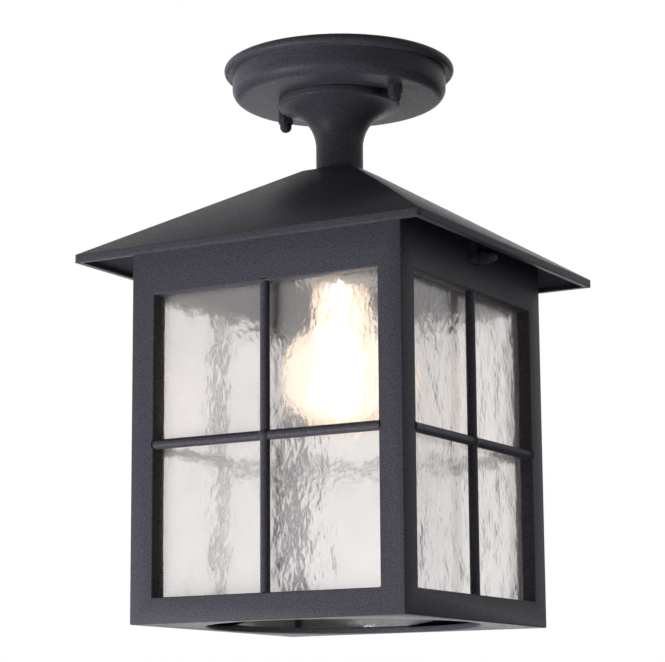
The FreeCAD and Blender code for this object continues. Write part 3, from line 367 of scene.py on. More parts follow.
class Bench:
    """The modelling bench: Blender's own operators, each on one piece at a time."""

    @staticmethod
    def take(*pieces: bpy.types.Object) -> None:
        """Select these pieces alone, the first one active."""
        bpy.ops.object.select_all(action="DESELECT")
        for piece in pieces:
            piece.select_set(True)
        if pieces:
            bpy.context.view_layer.objects.active = pieces[0]

    @staticmethod
    @contextmanager
    def editing(piece: bpy.types.Object, kind: Kind = Kind.FACES) -> Iterator[None]:
        """Edit mode on a piece, with nothing selected at its start.

        Args:
            piece: the piece to shape.
            kind: the element kind that is picked.
        """
        Bench.take(piece)
        bpy.ops.object.mode_set(mode="EDIT")
        bpy.ops.mesh.select_mode(type=kind.value)
        bpy.ops.mesh.select_all(action="DESELECT")
        yield
        bpy.ops.object.mode_set(mode="OBJECT")

    @staticmethod
    def pick(piece: bpy.types.Object, kind: Kind, test: Callable[[Vector, Vector], bool]) -> int:
        """Select the elements that pass a test, and nothing else.

        Args:
            piece: the piece in edit mode.
            kind: which elements are tried.
            test: gets the element's middle in millimetres, and its normal or direction.

        Returns:
            How many were selected.
        """
        bpy.ops.mesh.select_all(action="DESELECT")
        shape = bmesh.from_edit_mesh(piece.data)
        count = 0
        for element in {Kind.FACES: shape.faces, Kind.EDGES: shape.edges, Kind.POINTS: shape.verts}[kind]:
            if kind is Kind.FACES:
                middle, way = element.calc_center_median(), element.normal
            elif kind is Kind.EDGES:
                first, last = (point.co for point in element.verts)
                middle, way = (first + last) / 2, (last - first).normalized()
            else:
                middle, way = element.co, element.normal
            if test(middle / MM, way):
                element.select_set(True)
                count += 1
        bmesh.update_edit_mesh(piece.data)
        return count

    @staticmethod
    def push(x: float = 0.0, y: float = 0.0, z: float = 0.0) -> None:
        """Extrude the selected faces by a distance, in millimetres."""
        bpy.ops.mesh.extrude_region_move(TRANSFORM_OT_translate={"value": (x * MM, y * MM, z * MM)})

    @staticmethod
    def shrink(x: float, y: float, z: float, centre: Sequence[float]) -> None:
        """Scale what is selected about a point given in millimetres."""
        bpy.ops.transform.resize(value=(x, y, z), center_override=[c * MM for c in centre])

    @staticmethod
    def settle(piece: bpy.types.Object) -> bpy.types.Object:
        """Put a piece's place, turn and size into its mesh."""
        Bench.take(piece)
        bpy.ops.object.transform_apply(location=True, rotation=True, scale=True)
        return piece

    @staticmethod
    def block(low: Sequence[float], high: Sequence[float]) -> bpy.types.Object:
        """Box between two corners in millimetres."""
        Bench.take()
        middle = (Vector(low) + Vector(high)) / 2 * MM
        bpy.ops.mesh.primitive_cube_add(size=1.0, location=middle, scale=(Vector(high) - Vector(low)) * MM)
        return Bench.settle(bpy.context.object)

    @staticmethod
    def rod(radius: float, start: Sequence[float], end: Sequence[float], sides: int = 32) -> bpy.types.Object:
        """Round bar between two points in millimetres.

        Args:
            radius: its radius.
            start: one end.
            end: the other end.
            sides: number of its sides.

        Returns:
            The bar.
        """
        Bench.take()
        way = (Vector(end) - Vector(start)) * MM
        bpy.ops.mesh.primitive_cylinder_add(
            vertices=sides, radius=radius * MM, depth=way.length, location=Vector(start) * MM + way / 2,
            rotation=way.to_track_quat("Z", "Y").to_euler())
        return Bench.settle(bpy.context.object)

    @staticmethod
    def turned(corners: Sequence[Corner], steps: int, bevel_steps: int = 6) -> bpy.types.Object:
        """Spin a closed outline about the Z axis; it is drawn by extruding one point from corner to corner.

        Args:
            corners: the outline in order.
            steps: number of steps round the axis.
            bevel_steps: number of runs in each rounded corner.

        Returns:
            The turned piece.
        """
        Bench.take()
        bpy.ops.mesh.primitive_plane_add(size=MM)
        piece = bpy.context.object
        with Bench.editing(piece, Kind.POINTS):
            bpy.ops.mesh.select_all(action="SELECT")
            bpy.ops.mesh.merge(type="CENTER")
            bpy.ops.transform.translate(value=corners[0].place)
            for before, after in zip(corners, corners[1:]):
                bpy.ops.mesh.extrude_vertices_move(TRANSFORM_OT_translate={"value": after.place - before.place})
            if corners[0].out > 0.0:
                ends = [corners[0].place / MM, corners[-1].place / MM]
                Bench.pick(piece, Kind.POINTS, lambda place, _: min((place - end).length for end in ends) < SAME_PLACE)
                bpy.ops.mesh.edge_face_add()
            for reach in sorted({corner.soft for corner in corners if corner.soft > 0.0}):
                spots = [corner.place / MM for corner in corners if corner.soft == reach]
                Bench.pick(piece, Kind.POINTS,
                           lambda place, _, spots=spots: min((place - s).length for s in spots) < SAME_PLACE)
                bpy.ops.mesh.bevel(offset=reach * MM, segments=bevel_steps, affect="VERTICES")
            bpy.ops.mesh.select_all(action="SELECT")
            bpy.ops.mesh.spin(steps=steps, angle=2.0 * math.pi, center=(0.0, 0.0, 0.0), axis=(0.0, 0.0, 1.0))
            bpy.ops.mesh.select_all(action="SELECT")
            bpy.ops.mesh.remove_doubles(threshold=WELD)
            bpy.ops.mesh.normals_make_consistent(inside=False)
        return piece

    @staticmethod
    def modify(piece: bpy.types.Object, kind: str, **settings: object) -> bpy.types.Object:
        """Add a modifier with these settings and apply it."""
        Bench.take(piece)
        change = piece.modifiers.new(kind.lower(), kind)
        for name, value in settings.items():
            setattr(change, name, value)
        bpy.ops.object.modifier_apply(modifier=change.name)
        return piece

    @staticmethod
    def combine(piece: bpy.types.Object, tool: bpy.types.Object, how: str) -> bpy.types.Object:
        """Cut, join or intersect a piece with a tool, which is used up.

        Args:
            piece: the piece that stays.
            tool: the other one.
            how: DIFFERENCE, UNION or INTERSECT.

        Returns:
            The piece.
        """
        Bench.modify(piece, "BOOLEAN", operation=how, object=tool, solver="EXACT")
        bpy.data.objects.remove(tool)
        return piece

    @staticmethod
    def place(piece: bpy.types.Object, matrix: Matrix) -> bpy.types.Object:
        """Move, turn or scale a piece by a matrix."""
        piece.matrix_world = matrix
        return Bench.settle(piece)

    @staticmethod
    def copy(piece: bpy.types.Object, matrix: Matrix) -> bpy.types.Object:
        """Copy of a piece with its own mesh, placed by a matrix."""
        twin = piece.copy()
        twin.data = piece.data.copy()
        bpy.context.scene.collection.objects.link(twin)
        return Bench.place(twin, matrix)

    @staticmethod
    def join(*pieces: bpy.types.Object) -> bpy.types.Object:
        """Join pieces into the first one."""
        Bench.take(*pieces)
        bpy.ops.object.join()
        return pieces[0]

    @staticmethod
    def round_copies(piece: bpy.types.Object, degrees: Sequence[float]) -> bpy.types.Object:
        """Copy a piece round the Z axis and join the copies to it.

        Args:
            piece: the piece at 0 degrees.
            degrees: the turns of its copies.

        Returns:
            The joined piece.
        """
        twins = [Bench.copy(piece, Matrix.Rotation(math.radians(turn), 4, "Z")) for turn in degrees]
        return Bench.join(piece, *twins)


# ---------------------------------------------------------------- sub-assemblies


class Assembly:
    """What every sub-assembly shares: how a finished piece is handed over."""

    def __init__(self, shop: PaintShop) -> None:
        """Keep the paint shop.

        Args:
            shop: what dresses the pieces.
        """
        self.shop = shop

    def hand_over(self, piece: bpy.types.Object, name: str, body: Body, slot: str, *nodes: str,
                  finish: str = "") -> bpy.types.Object:
        """Name, smooth, dress and seat a finished piece.

        Args:
            piece: the finished piece, its place in its mesh.
            name: its name.
            body: the body that it rides on.
            slot: the record's material slot.
            nodes: the nodes that it stands for.
            finish: its finish, where that isn't the slot's own.

        Returns:
            The piece.
        """
        piece.name = name
        piece.data.name = name
        Bench.take(piece)
        bpy.ops.object.shade_smooth_by_angle(angle=math.radians(SMOOTH_ANGLE))
        self.shop.dress(piece, finish or slot)
        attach(piece, body.value)
        if nodes:
            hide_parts(*nodes)
        log.info("%s: %d faces on %s, for %s", name, len(piece.data.polygons), body.value, ", ".join(nodes))
        return piece


@dataclass
class CeilingPlate(Assembly):
    """Pressed round plate with a rolled rim."""

    shop: PaintShop
    radius: float = 57.0
    depth: float = 18.7
    wall: float = 1.5
    corner: float = 6.0
    rim_radius: float = 61.4
    rim_height: float = 5.4
    bore: float = TUBE_BORE
    stud_circle: float = STUD_CIRCLE
    stud_angle: float = STUD_ANGLE
    stud_hole: float = 2.15

    def build(self) -> None:
        """Turn the pressing and drill it for the two studs."""
        half_rim = self.rim_height / 2 - 0.01
        inner = self.radius - self.wall
        plate = Bench.turned([
            Corner(inner, 0.0), Corner(self.rim_radius, 0.0, half_rim),
            Corner(self.rim_radius, -self.rim_height, half_rim), Corner(self.radius, -self.rim_height, 0.3),
            Corner(self.radius, -self.depth, self.corner), Corner(self.bore, -self.depth),
            Corner(self.bore, -self.depth + self.wall), Corner(inner, -self.depth + self.wall, self.corner - self.wall),
        ], 128, 8)
        for sign in (-1.0, 1.0):
            turn = math.radians(self.stud_angle)
            x, y = sign * self.stud_circle * math.cos(turn), sign * self.stud_circle * math.sin(turn)
            drill = Bench.rod(self.stud_hole, (x, y, -self.depth - PAST), (x, y, -self.depth + self.wall + PAST))
            Bench.combine(plate, drill, "DIFFERENCE")
        self.hand_over(plate, "pressed_plate", Body.FITTING, "coated_steel", "ceiling_plate")


@dataclass
class Stem(Assembly):
    """Cast flange that flares down into a round neck."""

    shop: PaintShop
    top: float = -18.7
    bottom: float = -58.2
    flange_radius: float = 32.3
    flange_thickness: float = 4.1
    flange_edge: float = 1.1
    neck: float = 12.5
    flare: float = 22.0
    bore: float = TUBE_BORE

    def build(self) -> None:
        """Turn the trumpet, solid but for its bore."""
        low = self.top - self.flange_thickness
        out = self.neck + self.flare
        rise = math.sqrt(self.flare ** 2 - (out - self.flange_radius) ** 2)
        start = math.degrees(math.atan2(rise, self.flange_radius - out))
        horn = arc((out, low - rise), self.flare, start, 180.0, 24)
        stem = Bench.turned([
            Corner(self.bore, self.top), Corner(self.flange_radius, self.top, self.flange_edge * 0.6),
            Corner(self.flange_radius, low, self.flange_edge), *horn[1:], Corner(self.neck, self.bottom),
            Corner(self.bore, self.bottom),
        ], 96, 5)
        self.hand_over(stem, "trumpet_stem", Body.FITTING, "coated_casting", "stem")


@dataclass
class Roof(Assembly):
    """Thin pyramid over a shallow fascia, hollow below."""

    shop: PaintShop
    eave: float = 100.0
    apex: float = 14.65
    top: float = -58.2
    eave_top: float = -110.0
    eave_bottom: float = -113.9
    fascia_wall: float = 3.5
    spring: float = -111.385
    ceiling: float = -61.2
    ceiling_half: float = 13.81
    bore: float = TUBE_BORE

    def build(self) -> None:
        """Raise the slopes, hollow the underside, drill the top and soften the edges."""
        roof = Bench.block((-self.eave, -self.eave, self.eave_bottom), (self.eave, self.eave, self.eave_top))
        with Bench.editing(roof):
            Bench.pick(roof, Kind.FACES, lambda _, way: way.z > 0.9)
            Bench.push(z=self.top - self.eave_top)
            share = self.apex / self.eave
            Bench.shrink(share, share, 1.0, (0.0, 0.0, self.top))
            Bench.pick(roof, Kind.FACES, lambda _, way: way.z < -0.9)
            bpy.ops.mesh.inset(thickness=self.fascia_wall * MM)
            Bench.push(z=self.spring - self.eave_bottom)
            Bench.push(z=self.ceiling - self.spring)
            share = self.ceiling_half / (self.eave - self.fascia_wall)
            Bench.shrink(share, share, 1.0, (0.0, 0.0, self.ceiling))
        self.soften(roof)
        drill = Bench.rod(self.bore, (0.0, 0.0, self.ceiling - PAST), (0.0, 0.0, self.top + PAST))
        Bench.combine(roof, drill, "DIFFERENCE")
        self.hand_over(roof, "cast_roof", Body.FITTING, "coated_casting", "roof")

    def soften(self, roof: bpy.types.Object) -> None:
        """Round the upright corners most, the hips less and the long edges least."""
        with Bench.editing(roof, Kind.EDGES):
            shape = bmesh.from_edit_mesh(roof.data)
            layer = shape.edges.layers.float.new("bevel_weight_edge")
            for edge in shape.edges:
                way = (edge.verts[1].co - edge.verts[0].co).normalized()
                upright = abs(way.z) > 0.99
                hip = 0.05 < abs(way.z) < 0.99
                outside = max(abs(p.co.x) for p in edge.verts) > (self.eave - 0.1) * MM
                edge[layer] = (1.0 if upright else 0.3 if hip else 0.2) if outside else 0.1
            bmesh.update_edit_mesh(roof.data)
        Bench.modify(roof, "BEVEL", width=2.4 * MM, segments=4, limit_method="WEIGHT")


@dataclass
class CageFrame(Assembly):
    """Cast cage: a square box with four crossed windows and a round opening in its base."""

    shop: PaintShop
    half: float = 78.3
    wall: float = 7.0
    top: float = -100.69
    bottom: float = -297.5
    base: float = 3.0
    base_hole: float = 70.5
    window_half: float = 65.05
    window_low: float = -284.5
    window_high: float = -130.4
    draft: float = 3.0
    bar: float = 2.5
    bar_setback: float = 2.6
    bar_flare: float = 0.9
    bead: float = 3.5
    edge: float = 0.7
    strip_face: float = STRIP_FACE
    strip_screw: tuple[float, float] = STRIP_SCREW
    strip_boss: float = 3.2
    stud_level: float = SIDE_STUD_LEVEL
    stud_boss: float = 5.0
    stud_boss_depth: float = 5.0
    stud_boss_edge: float = 0.5

    def build(self) -> None:
        """Hollow the box, cut the windows and the base, soften the edges and add the bars and bosses."""
        cage = Bench.block((-self.half, -self.half, self.bottom), (self.half, self.half, self.top))
        with Bench.editing(cage):
            Bench.pick(cage, Kind.FACES, lambda _, way: way.z > 0.9)
            bpy.ops.mesh.inset(thickness=self.wall * MM)
            Bench.push(z=self.bottom + self.base - self.top)
        Bench.combine(cage, self.cutters(), "DIFFERENCE")
        Bench.modify(cage, "BEVEL", width=self.edge * MM, segments=3, limit_method="ANGLE",
                     angle_limit=math.radians(40.0))
        cage = Bench.join(cage, Bench.round_copies(self.cross(), (90.0, 180.0, 270.0)), self.bosses())
        self.hand_over(cage, "cast_cage", Body.CAGE, "coated_casting", "cage_frame")

    def cutters(self) -> bpy.types.Object:
        """Drafted window openings on four sides and the round opening of the base."""
        inner = self.half - self.wall
        cutter = Bench.block((-self.window_half, -self.half - PAST, self.window_low),
                             (self.window_half, -inner + PAST, self.window_high))
        middle = (self.window_low + self.window_high) / 2
        reach = math.tan(math.radians(self.draft)) * (self.wall + 2 * PAST)
        tall = (self.window_high - self.window_low) / 2
        with Bench.editing(cutter):
            Bench.pick(cutter, Kind.FACES, lambda _, way: way.y > 0.9)
            Bench.shrink((self.window_half - reach) / self.window_half, 1.0, (tall - reach) / tall,
                         (0.0, 0.0, middle))
        cutter = Bench.round_copies(cutter, (90.0, 180.0, 270.0))
        hole = Bench.rod(self.base_hole, (0.0, 0.0, self.bottom - PAST),
                         (0.0, 0.0, self.bottom + self.base + PAST), 144)
        return Bench.join(cutter, hole)

    def cross(self) -> bpy.types.Object:
        """Crossed round bars of the front window, swelling into the rails, with a bead where they meet."""
        y = -self.half + self.bar_setback
        middle = (self.window_low + self.window_high) / 2
        upright = self.bar_of((self.window_high - self.window_low) / 2 + 0.5)
        level = Bench.copy(upright, Matrix.Rotation(math.radians(90.0), 4, "Y"))
        share = (self.window_half + 0.5) / ((self.window_high - self.window_low) / 2 + 0.5)
        Bench.place(level, Matrix.Scale(share, 4, Vector((1.0, 0.0, 0.0))))
        Bench.take()
        bpy.ops.mesh.primitive_uv_sphere_add(segments=40, ring_count=20, radius=self.bead * MM)
        cross = Bench.join(upright, level, bpy.context.object)
        return Bench.place(cross, Matrix.Translation(Vector((0.0, y, middle)) * MM))

    def bar_of(self, reach: float) -> bpy.types.Object:
        """Upright bar about the origin.

        Args:
            reach: half of its length.

        Returns:
            The bar, with a small flare at each end.
        """
        flare = self.bar_flare
        low = arc((self.bar + flare, -reach + flare), flare, 270.0, 180.0, 5)
        high = arc((self.bar + flare, reach - flare), flare, 180.0, 90.0, 5)
        return Bench.turned([Corner(0.0, -reach), *low, *high, Corner(0.0, reach)], 32)

    def bosses(self) -> bpy.types.Object:
        """Bosses inside the top rail for the strips' screws and the side studs."""
        inner = self.half - self.wall
        y, z = self.strip_screw
        strip = Bench.round_copies(Bench.rod(self.strip_boss, (self.strip_face, y, z), (inner + PAST, y, z)),
                                   (90.0, 180.0, 270.0))
        stud = Bench.rod(self.stud_boss, (inner - self.stud_boss_depth, 0.0, self.stud_level),
                         (inner + PAST, 0.0, self.stud_level))
        Bench.modify(stud, "BEVEL", width=self.stud_boss_edge * MM, segments=2, limit_method="ANGLE",
                     angle_limit=math.radians(60.0))
        return Bench.join(strip, Bench.round_copies(stud, (180.0,)))


@dataclass
class Glazing(Assembly):
    """Four rippled panes: flat outside, rippled inside."""

    shop: PaintShop
    outer: float = 71.0
    thickness: float = 3.0
    half_width: float = 67.45
    low: float = -294.2
    high: float = -126.4
    cuts: int = 100
    ripple: tuple[float, float] = (8.0, 0.6)
    swell: tuple[float, float] = (22.0, 1.3)

    def build(self) -> None:
        """Cut one pane, and ripple each copy in its own place, so that no two are alike."""
        blank = self.blank()
        for turn, side in ((0.0, "front"), (90.0, "right"), (180.0, "back"), (270.0, "left")):
            pane = Bench.copy(blank, Matrix.Rotation(math.radians(turn), 4, "Z"))
            for name, (size, depth) in (("swell", self.swell), ("ripple", self.ripple)):
                pattern = bpy.data.textures.new(name, "CLOUDS")
                pattern.noise_scale = size * MM
                pattern.noise_depth = 1
                Bench.modify(pane, "DISPLACE", texture=pattern, strength=depth * MM, mid_level=0.5,
                             vertex_group="inside")
            self.hand_over(pane, "rippled_pane_" + side, Body.CAGE, "rippled_glass", "pane_" + side)
        bpy.data.objects.remove(blank)

    def blank(self) -> bpy.types.Object:
        """Front pane with its inner face divided finely, and that face's inner points in a group."""
        inner = self.thickness - self.outer
        pane = Bench.block((-self.half_width, -self.outer, self.low), (self.half_width, inner, self.high))
        inside = pane.vertex_groups.new(name="inside")
        with Bench.editing(pane):
            Bench.pick(pane, Kind.FACES, lambda _, way: way.y > 0.9)
            bpy.ops.mesh.subdivide(number_cuts=self.cuts)
            Bench.pick(pane, Kind.POINTS, lambda at, _: (
                at.y > inner - 0.1 and abs(at.x) < self.half_width - 0.1
                and self.low + 0.1 < at.z < self.high - 0.1))
            bpy.ops.object.vertex_group_assign()
        pane.vertex_groups.active_index = inside.index
        return pane


@dataclass
class CornerStrips(Assembly):
    """Angle strips behind the panes: narrow legs beside the glass, wide ones for a screw above it."""

    shop: PaintShop
    face: float = STRIP_FACE
    leg: float = 2.4
    wide_leg: float = 8.0
    thickness: float = 1.2
    low: float = -294.2
    shoulder: float = -127.4
    high: float = -112.4
    screw: tuple[float, float] = STRIP_SCREW
    hole: float = 1.8

    def build(self) -> None:
        """Make the strip of one corner and set a turned copy in each."""
        strip = self.angle(self.leg, self.low, self.shoulder)
        Bench.combine(strip, self.angle(self.wide_leg, self.shoulder - 0.01, self.high), "UNION")
        y, z = self.screw
        drill = Bench.rod(self.hole, (self.face - 3.0, y, z), (self.face + 1.0, y, z), 24)
        Bench.combine(strip, drill, "DIFFERENCE")
        Bench.modify(strip, "BEVEL", width=0.15 * MM, segments=2, limit_method="ANGLE",
                     angle_limit=math.radians(40.0))
        for turn, side in ((0.0, "back_right"), (90.0, "back_left"), (180.0, "front_left"), (270.0, "front_right")):
            piece = Bench.copy(strip, Matrix.Rotation(math.radians(turn), 4, "Z"))
            self.hand_over(piece, "angle_strip_" + side, Body.CAGE, "coated_strip", "corner_strip_" + side)
        bpy.data.objects.remove(strip)

    def angle(self, leg: float, low: float, high: float) -> bpy.types.Object:
        """Angle with two equal legs, its outer faces at the strip's face.

        Args:
            leg: width of a leg.
            low: level of its foot.
            high: level of its top.

        Returns:
            The angle.
        """
        end, inner = self.face - leg, self.face - self.thickness
        angle = Bench.block((end, end, low), (self.face, self.face, high))
        return Bench.combine(angle, Bench.block((end - PAST, end - PAST, low - PAST), (inner, inner, high + PAST)),
                             "DIFFERENCE")


@dataclass
class DomeNuts(Assembly):
    """Dome nuts: two under the plate and two on the cage's side studs."""

    shop: PaintShop
    corner_radius: float = 4.04
    hex_height: float = 3.2
    dome_radius: float = 3.2
    length: float = 8.0
    seat: float = -19.9
    stud_circle: float = STUD_CIRCLE
    stud_angle: float = STUD_ANGLE
    side_seat: float = 83.5
    side_level: float = SIDE_STUD_LEVEL
    chamfer: float = 0.35
    dome_foot: float = 1.0

    def build(self) -> None:
        """Make one nut and set a copy on each stud."""
        nut = self.nut()
        flip = Matrix.Rotation(math.pi, 4, "X") @ Matrix.Rotation(math.radians(-self.stud_angle), 4, "Z")
        turn = math.radians(self.stud_angle)
        for sign, side, body in ((1.0, "right", Body.PLATE_NUT_RIGHT), (-1.0, "left", Body.PLATE_NUT_LEFT)):
            place = Vector((sign * self.stud_circle * math.cos(turn), sign * self.stud_circle * math.sin(turn),
                            self.seat)) * MM
            piece = Bench.copy(nut, Matrix.Translation(place) @ flip)
            self.hand_over(piece, "dome_nut_plate_" + side, body, "coated_steel", "plate_nut_" + side)
        for degrees, side, body in ((90.0, "right", Body.SIDE_NUT_RIGHT), (-90.0, "left", Body.SIDE_NUT_LEFT)):
            sign = math.copysign(1.0, degrees)
            place = Vector((sign * self.side_seat, 0.0, self.side_level)) * MM
            piece = Bench.copy(nut, Matrix.Translation(place) @ Matrix.Rotation(math.radians(degrees), 4, "Y"))
            self.hand_over(piece, "dome_nut_side_" + side, body, "coated_steel", "side_nut_" + side)
        bpy.data.objects.remove(nut)

    def nut(self) -> bpy.types.Object:
        """Nut with its seat at the origin and its dome up: a hexagon with turned chamfers, and a dome.

        It is solid: the bore that the CAD node has is not modelled here.
        """
        hexagon = Bench.rod(self.corner_radius, (0.0, 0.0, 0.0), (0.0, 0.0, self.hex_height), 6)
        Bench.place(hexagon, Matrix.Rotation(math.radians(30.0), 4, "Z"))
        wide = self.corner_radius + 0.2
        flat = self.corner_radius * math.cos(math.radians(30.0))
        gauge = Bench.turned([
            Corner(0.0, -0.1), Corner(flat, -0.1), Corner(wide, self.chamfer),
            Corner(wide, self.hex_height - self.chamfer),
            Corner(flat, self.hex_height + 0.02), Corner(0.0, self.hex_height + 0.02)], 48)
        Bench.combine(hexagon, gauge, "INTERSECT")
        crown = arc((0.0, self.length - self.dome_radius), self.dome_radius, 0.0, 90.0, 10)
        dome = Bench.turned([Corner(0.0, self.dome_foot), Corner(self.dome_radius, self.dome_foot), *crown[:-1],
                             Corner(0.0, self.length)], 40)
        Bench.combine(hexagon, dome, "UNION")
        return hexagon


@dataclass
class Lamp(Assembly):
    """Pearl bulb of the lamp, with the lit capsule inside it."""

    shop: PaintShop
    radius: float = 30.0
    bottom: float = -199.5
    neck: float = 14.0
    neck_level: float = -127.7
    throat: float = 12.7
    throat_level: float = -112.7
    seam_low: float = -122.7
    seam_high: float = -121.2
    wall: float = 0.8
    capsule_radius: float = 9.0
    capsule_low: float = -186.0
    capsule_high: float = -146.0
    capsule_shoulder: float = 4.0
    pinch: float = 3.0
    pinch_gap: float = 2.0

    def build(self) -> None:
        """Turn the bulb from its foot to its throat, give it a wall, and hang the capsule in it."""
        centre = self.bottom + self.radius
        rise = self.neck_level - centre
        fillet = (rise ** 2 + self.neck ** 2 - self.radius ** 2) / (2 * (self.radius - self.neck))
        turn = math.degrees(math.atan2(rise, self.neck + fillet))
        belly = arc((0.0, centre), self.radius, -90.0, turn, 32)
        shoulder = arc((self.neck + fillet, self.neck_level), fillet, 180.0 + turn, 180.0, 12)
        bulb = Bench.turned([Corner(0.0, self.bottom), *belly[1:], *shoulder[1:], Corner(self.neck, self.seam_low),
                             Corner(self.throat, self.seam_high), Corner(self.throat, self.throat_level),
                             Corner(0.0, self.throat_level)], 64)
        Bench.modify(bulb, "SOLIDIFY", thickness=self.wall * MM, offset=-1.0)
        self.hand_over(bulb, "pearl_bulb", Body.LAMP, "opal_glass", "lamp_envelope")
        self.hand_over(self.capsule(), "lamp_capsule", Body.LAMP, "opal_glass", finish=CAPSULE)

    def capsule(self) -> bpy.types.Object:
        """Round-ended capsule on its pinch."""
        tip = arc((0.0, self.capsule_low + self.capsule_radius), self.capsule_radius, -90.0, 0.0, 8)
        end = self.throat_level - self.pinch_gap
        return Bench.turned([*tip, Corner(self.capsule_radius, self.capsule_high, self.capsule_shoulder),
                             Corner(self.pinch, self.capsule_high), Corner(self.pinch, end), Corner(0.0, end)], 32)


class Fittings:
    """The nodes that keep their mesh."""

    def __init__(self, shop: PaintShop, record: dict) -> None:
        """Read each node's slot.

        Args:
            shop: what dresses the nodes.
            record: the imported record.
        """
        self.shop = shop
        self.slots = {part["node"]: part["material_slot"] for part in record["subparts"]}

    def dress(self, nodes: dict[str, bpy.types.Object]) -> None:
        """Put its finish on every node.

        Args:
            nodes: the frame's nodes by name.
        """
        for name, node in nodes.items():
            self.shop.dress(node, self.slots[name])
            log.info("%s: %s", name, self.slots[name])


# ---------------------------------------------------------------- studio


@dataclass
class Softbox:
    """Soft square lamp of the studio."""

    name: str
    place: Triple
    size: float
    power: float
    tint: Colour = (1.0, 1.0, 1.0)

    def set_up(self, aim: Vector) -> None:
        """Place the lamp and turn it to a point.

        Args:
            aim: the point, in metres.
        """
        data = bpy.data.lights.new(self.name, "AREA")
        data.shape = "SQUARE"
        data.size = self.size
        data.energy = self.power
        data.color = self.tint
        lamp = bpy.data.objects.new(self.name, data)
        bpy.context.scene.collection.objects.link(lamp)
        lamp.location = self.place
        lamp.rotation_euler = (aim - Vector(self.place)).to_track_quat("-Z", "Y").to_euler()
        lamp.visible_camera = False
        lamp.visible_transmission = False


@dataclass
class LampLight:
    """Warm light that the lit lamp throws about the cage, from just outside its bulb."""

    level: float = -0.1695
    radius: float = 0.031
    power: float = 0.14
    tint: Colour = (1.0, 0.82, 0.66)

    def set_up(self) -> None:
        """Place the light."""
        data = bpy.data.lights.new("lamp_light", "POINT")
        data.energy = self.power
        data.color = self.tint
        data.shadow_soft_size = self.radius
        lamp = bpy.data.objects.new("lamp_light", data)
        bpy.context.scene.collection.objects.link(lamp)
        lamp.location = (0.0, 0.0, self.level)
        for ray in ("camera", "transmission", "glossy"):
            setattr(lamp, "visible_" + ray, False)


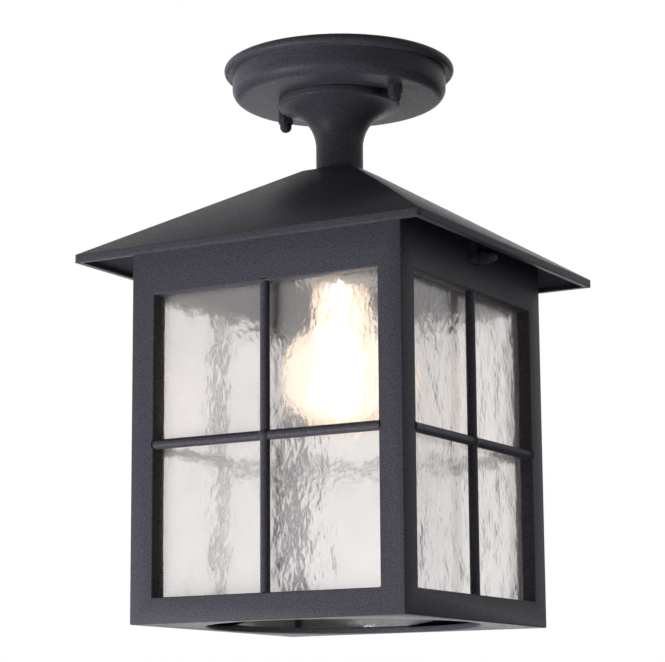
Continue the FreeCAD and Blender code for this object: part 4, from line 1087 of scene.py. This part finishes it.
@dataclass
class Studio:
    """Pale floor, white surroundings, soft lamps and the photograph's viewpoint."""

    floor_level: float = -1.3
    floor_size: float = 14.0
    aim: Triple = (0.0, 0.0, -0.16)
    ambient: float = 0.03
    lens: float = 121.5
    distance: float = 1.1576
    level: float = -0.3585
    azimuth: float = 29.8
    yaw: float = 0.22
    pitch: float = 10.52
    roll: float = -0.4
    boxes: tuple[Softbox, ...] = (
        Softbox("key_front_left", (-0.5, -0.75, -0.68), 0.6, 14.0),
        Softbox("rim_left", (-1.5, -0.3, -0.12), 0.8, 3.5),
        Softbox("fill_right", (1.65, 0.17, -0.1), 0.8, 3.5),
        Softbox("under_front", (0.2, -0.6, -1.2), 0.8, 2.8),
        Softbox("under_back", (-0.75, 1.4, -0.6), 0.9, 2.5),
    )

    def set_up(self) -> None:
        """Lay the floor, light the scene and place the camera."""
        self.floor()
        self.surround()
        for box in self.boxes:
            box.set_up(Vector(self.aim))
        LampLight().set_up()
        self.camera()

    def floor(self) -> None:
        """Plain floor far below the ceiling, pale to the camera in every view."""
        Bench.take()
        bpy.ops.mesh.primitive_plane_add(size=self.floor_size, location=(0.0, 0.0, self.floor_level))
        floor = bpy.context.object
        floor.name = "studio_floor"
        recipe = Recipe("studio_floor")
        recipe.put("Base Color", (0.86, 0.86, 0.86, 1.0))
        recipe.put("Roughness", 0.9)
        recipe.put("Emission Color", (0.7, 0.7, 0.7, 1.0))
        recipe.feed("Emission Strength", recipe.tree.nodes.new("ShaderNodeLightPath").outputs["Is Camera Ray"])
        floor.data.materials.append(recipe.material)

    def surround(self) -> None:
        """White to the camera, in gloss and through glass; softer as light."""
        world = bpy.data.worlds.new("studio_surround")
        bpy.context.scene.world = world
        world.use_nodes = True
        tree = world.node_tree
        path = tree.nodes.new("ShaderNodeLightPath")
        seen = path.outputs["Is Camera Ray"]
        for ray in ("Is Glossy Ray", "Is Transmission Ray"):
            either = tree.nodes.new("ShaderNodeMath")
            either.operation = "MAXIMUM"
            tree.links.new(seen, either.inputs[0])
            tree.links.new(path.outputs[ray], either.inputs[1])
            seen = either.outputs[0]
        level = tree.nodes.new("ShaderNodeMapRange")
        level.inputs["To Min"].default_value = self.ambient
        level.inputs["To Max"].default_value = 1.0
        tree.links.new(seen, level.inputs["Value"])
        tree.links.new(level.outputs["Result"], tree.nodes["Background"].inputs["Strength"])
        tree.nodes["Background"].inputs["Color"].default_value = (1.0, 1.0, 1.0, 1.0)
        bpy.context.scene.view_settings.view_transform = "Standard"

    def camera(self) -> None:
        """Camera low and to the right of the front, looking up at the lantern."""
        turn = math.radians(self.azimuth)
        place = Vector((self.distance * math.sin(turn), -self.distance * math.cos(turn), self.level))
        heading = math.radians(self.azimuth + self.yaw)
        rise = math.radians(self.pitch)
        ahead = Vector((-math.sin(heading) * math.cos(rise), math.cos(heading) * math.cos(rise), math.sin(rise)))
        right = ahead.cross(Vector((0.0, 0.0, 1.0))).normalized()
        above = right.cross(ahead)
        lean = math.radians(self.roll)
        across = right * math.cos(lean) + above * math.sin(lean)
        up = above * math.cos(lean) - right * math.sin(lean)
        data = bpy.data.cameras.new("photo_view")
        data.lens = self.lens
        camera = bpy.data.objects.new("photo_view", data)
        bpy.context.scene.collection.objects.link(camera)
        camera.matrix_world = Matrix.Translation(place) @ Matrix((across, up, -ahead)).transposed().to_4x4()
        bpy.context.scene.camera = camera


def main() -> None:
    """Load the frame, build the sub-assemblies and the studio, and log each piece."""
    logging.basicConfig(level=logging.INFO, format="%(name)s: %(message)s")
    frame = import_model()
    shop = PaintShop()
    Fittings(shop, frame["record"]).dress(frame["nodes"])
    for assembly in (CeilingPlate, Stem, Roof, CageFrame, Glazing, CornerStrips, DomeNuts, Lamp):
        log.info("building %s", assembly.__name__)
        assembly(shop).build()
    Studio().set_up()


if __name__ == "__main__":
    main()
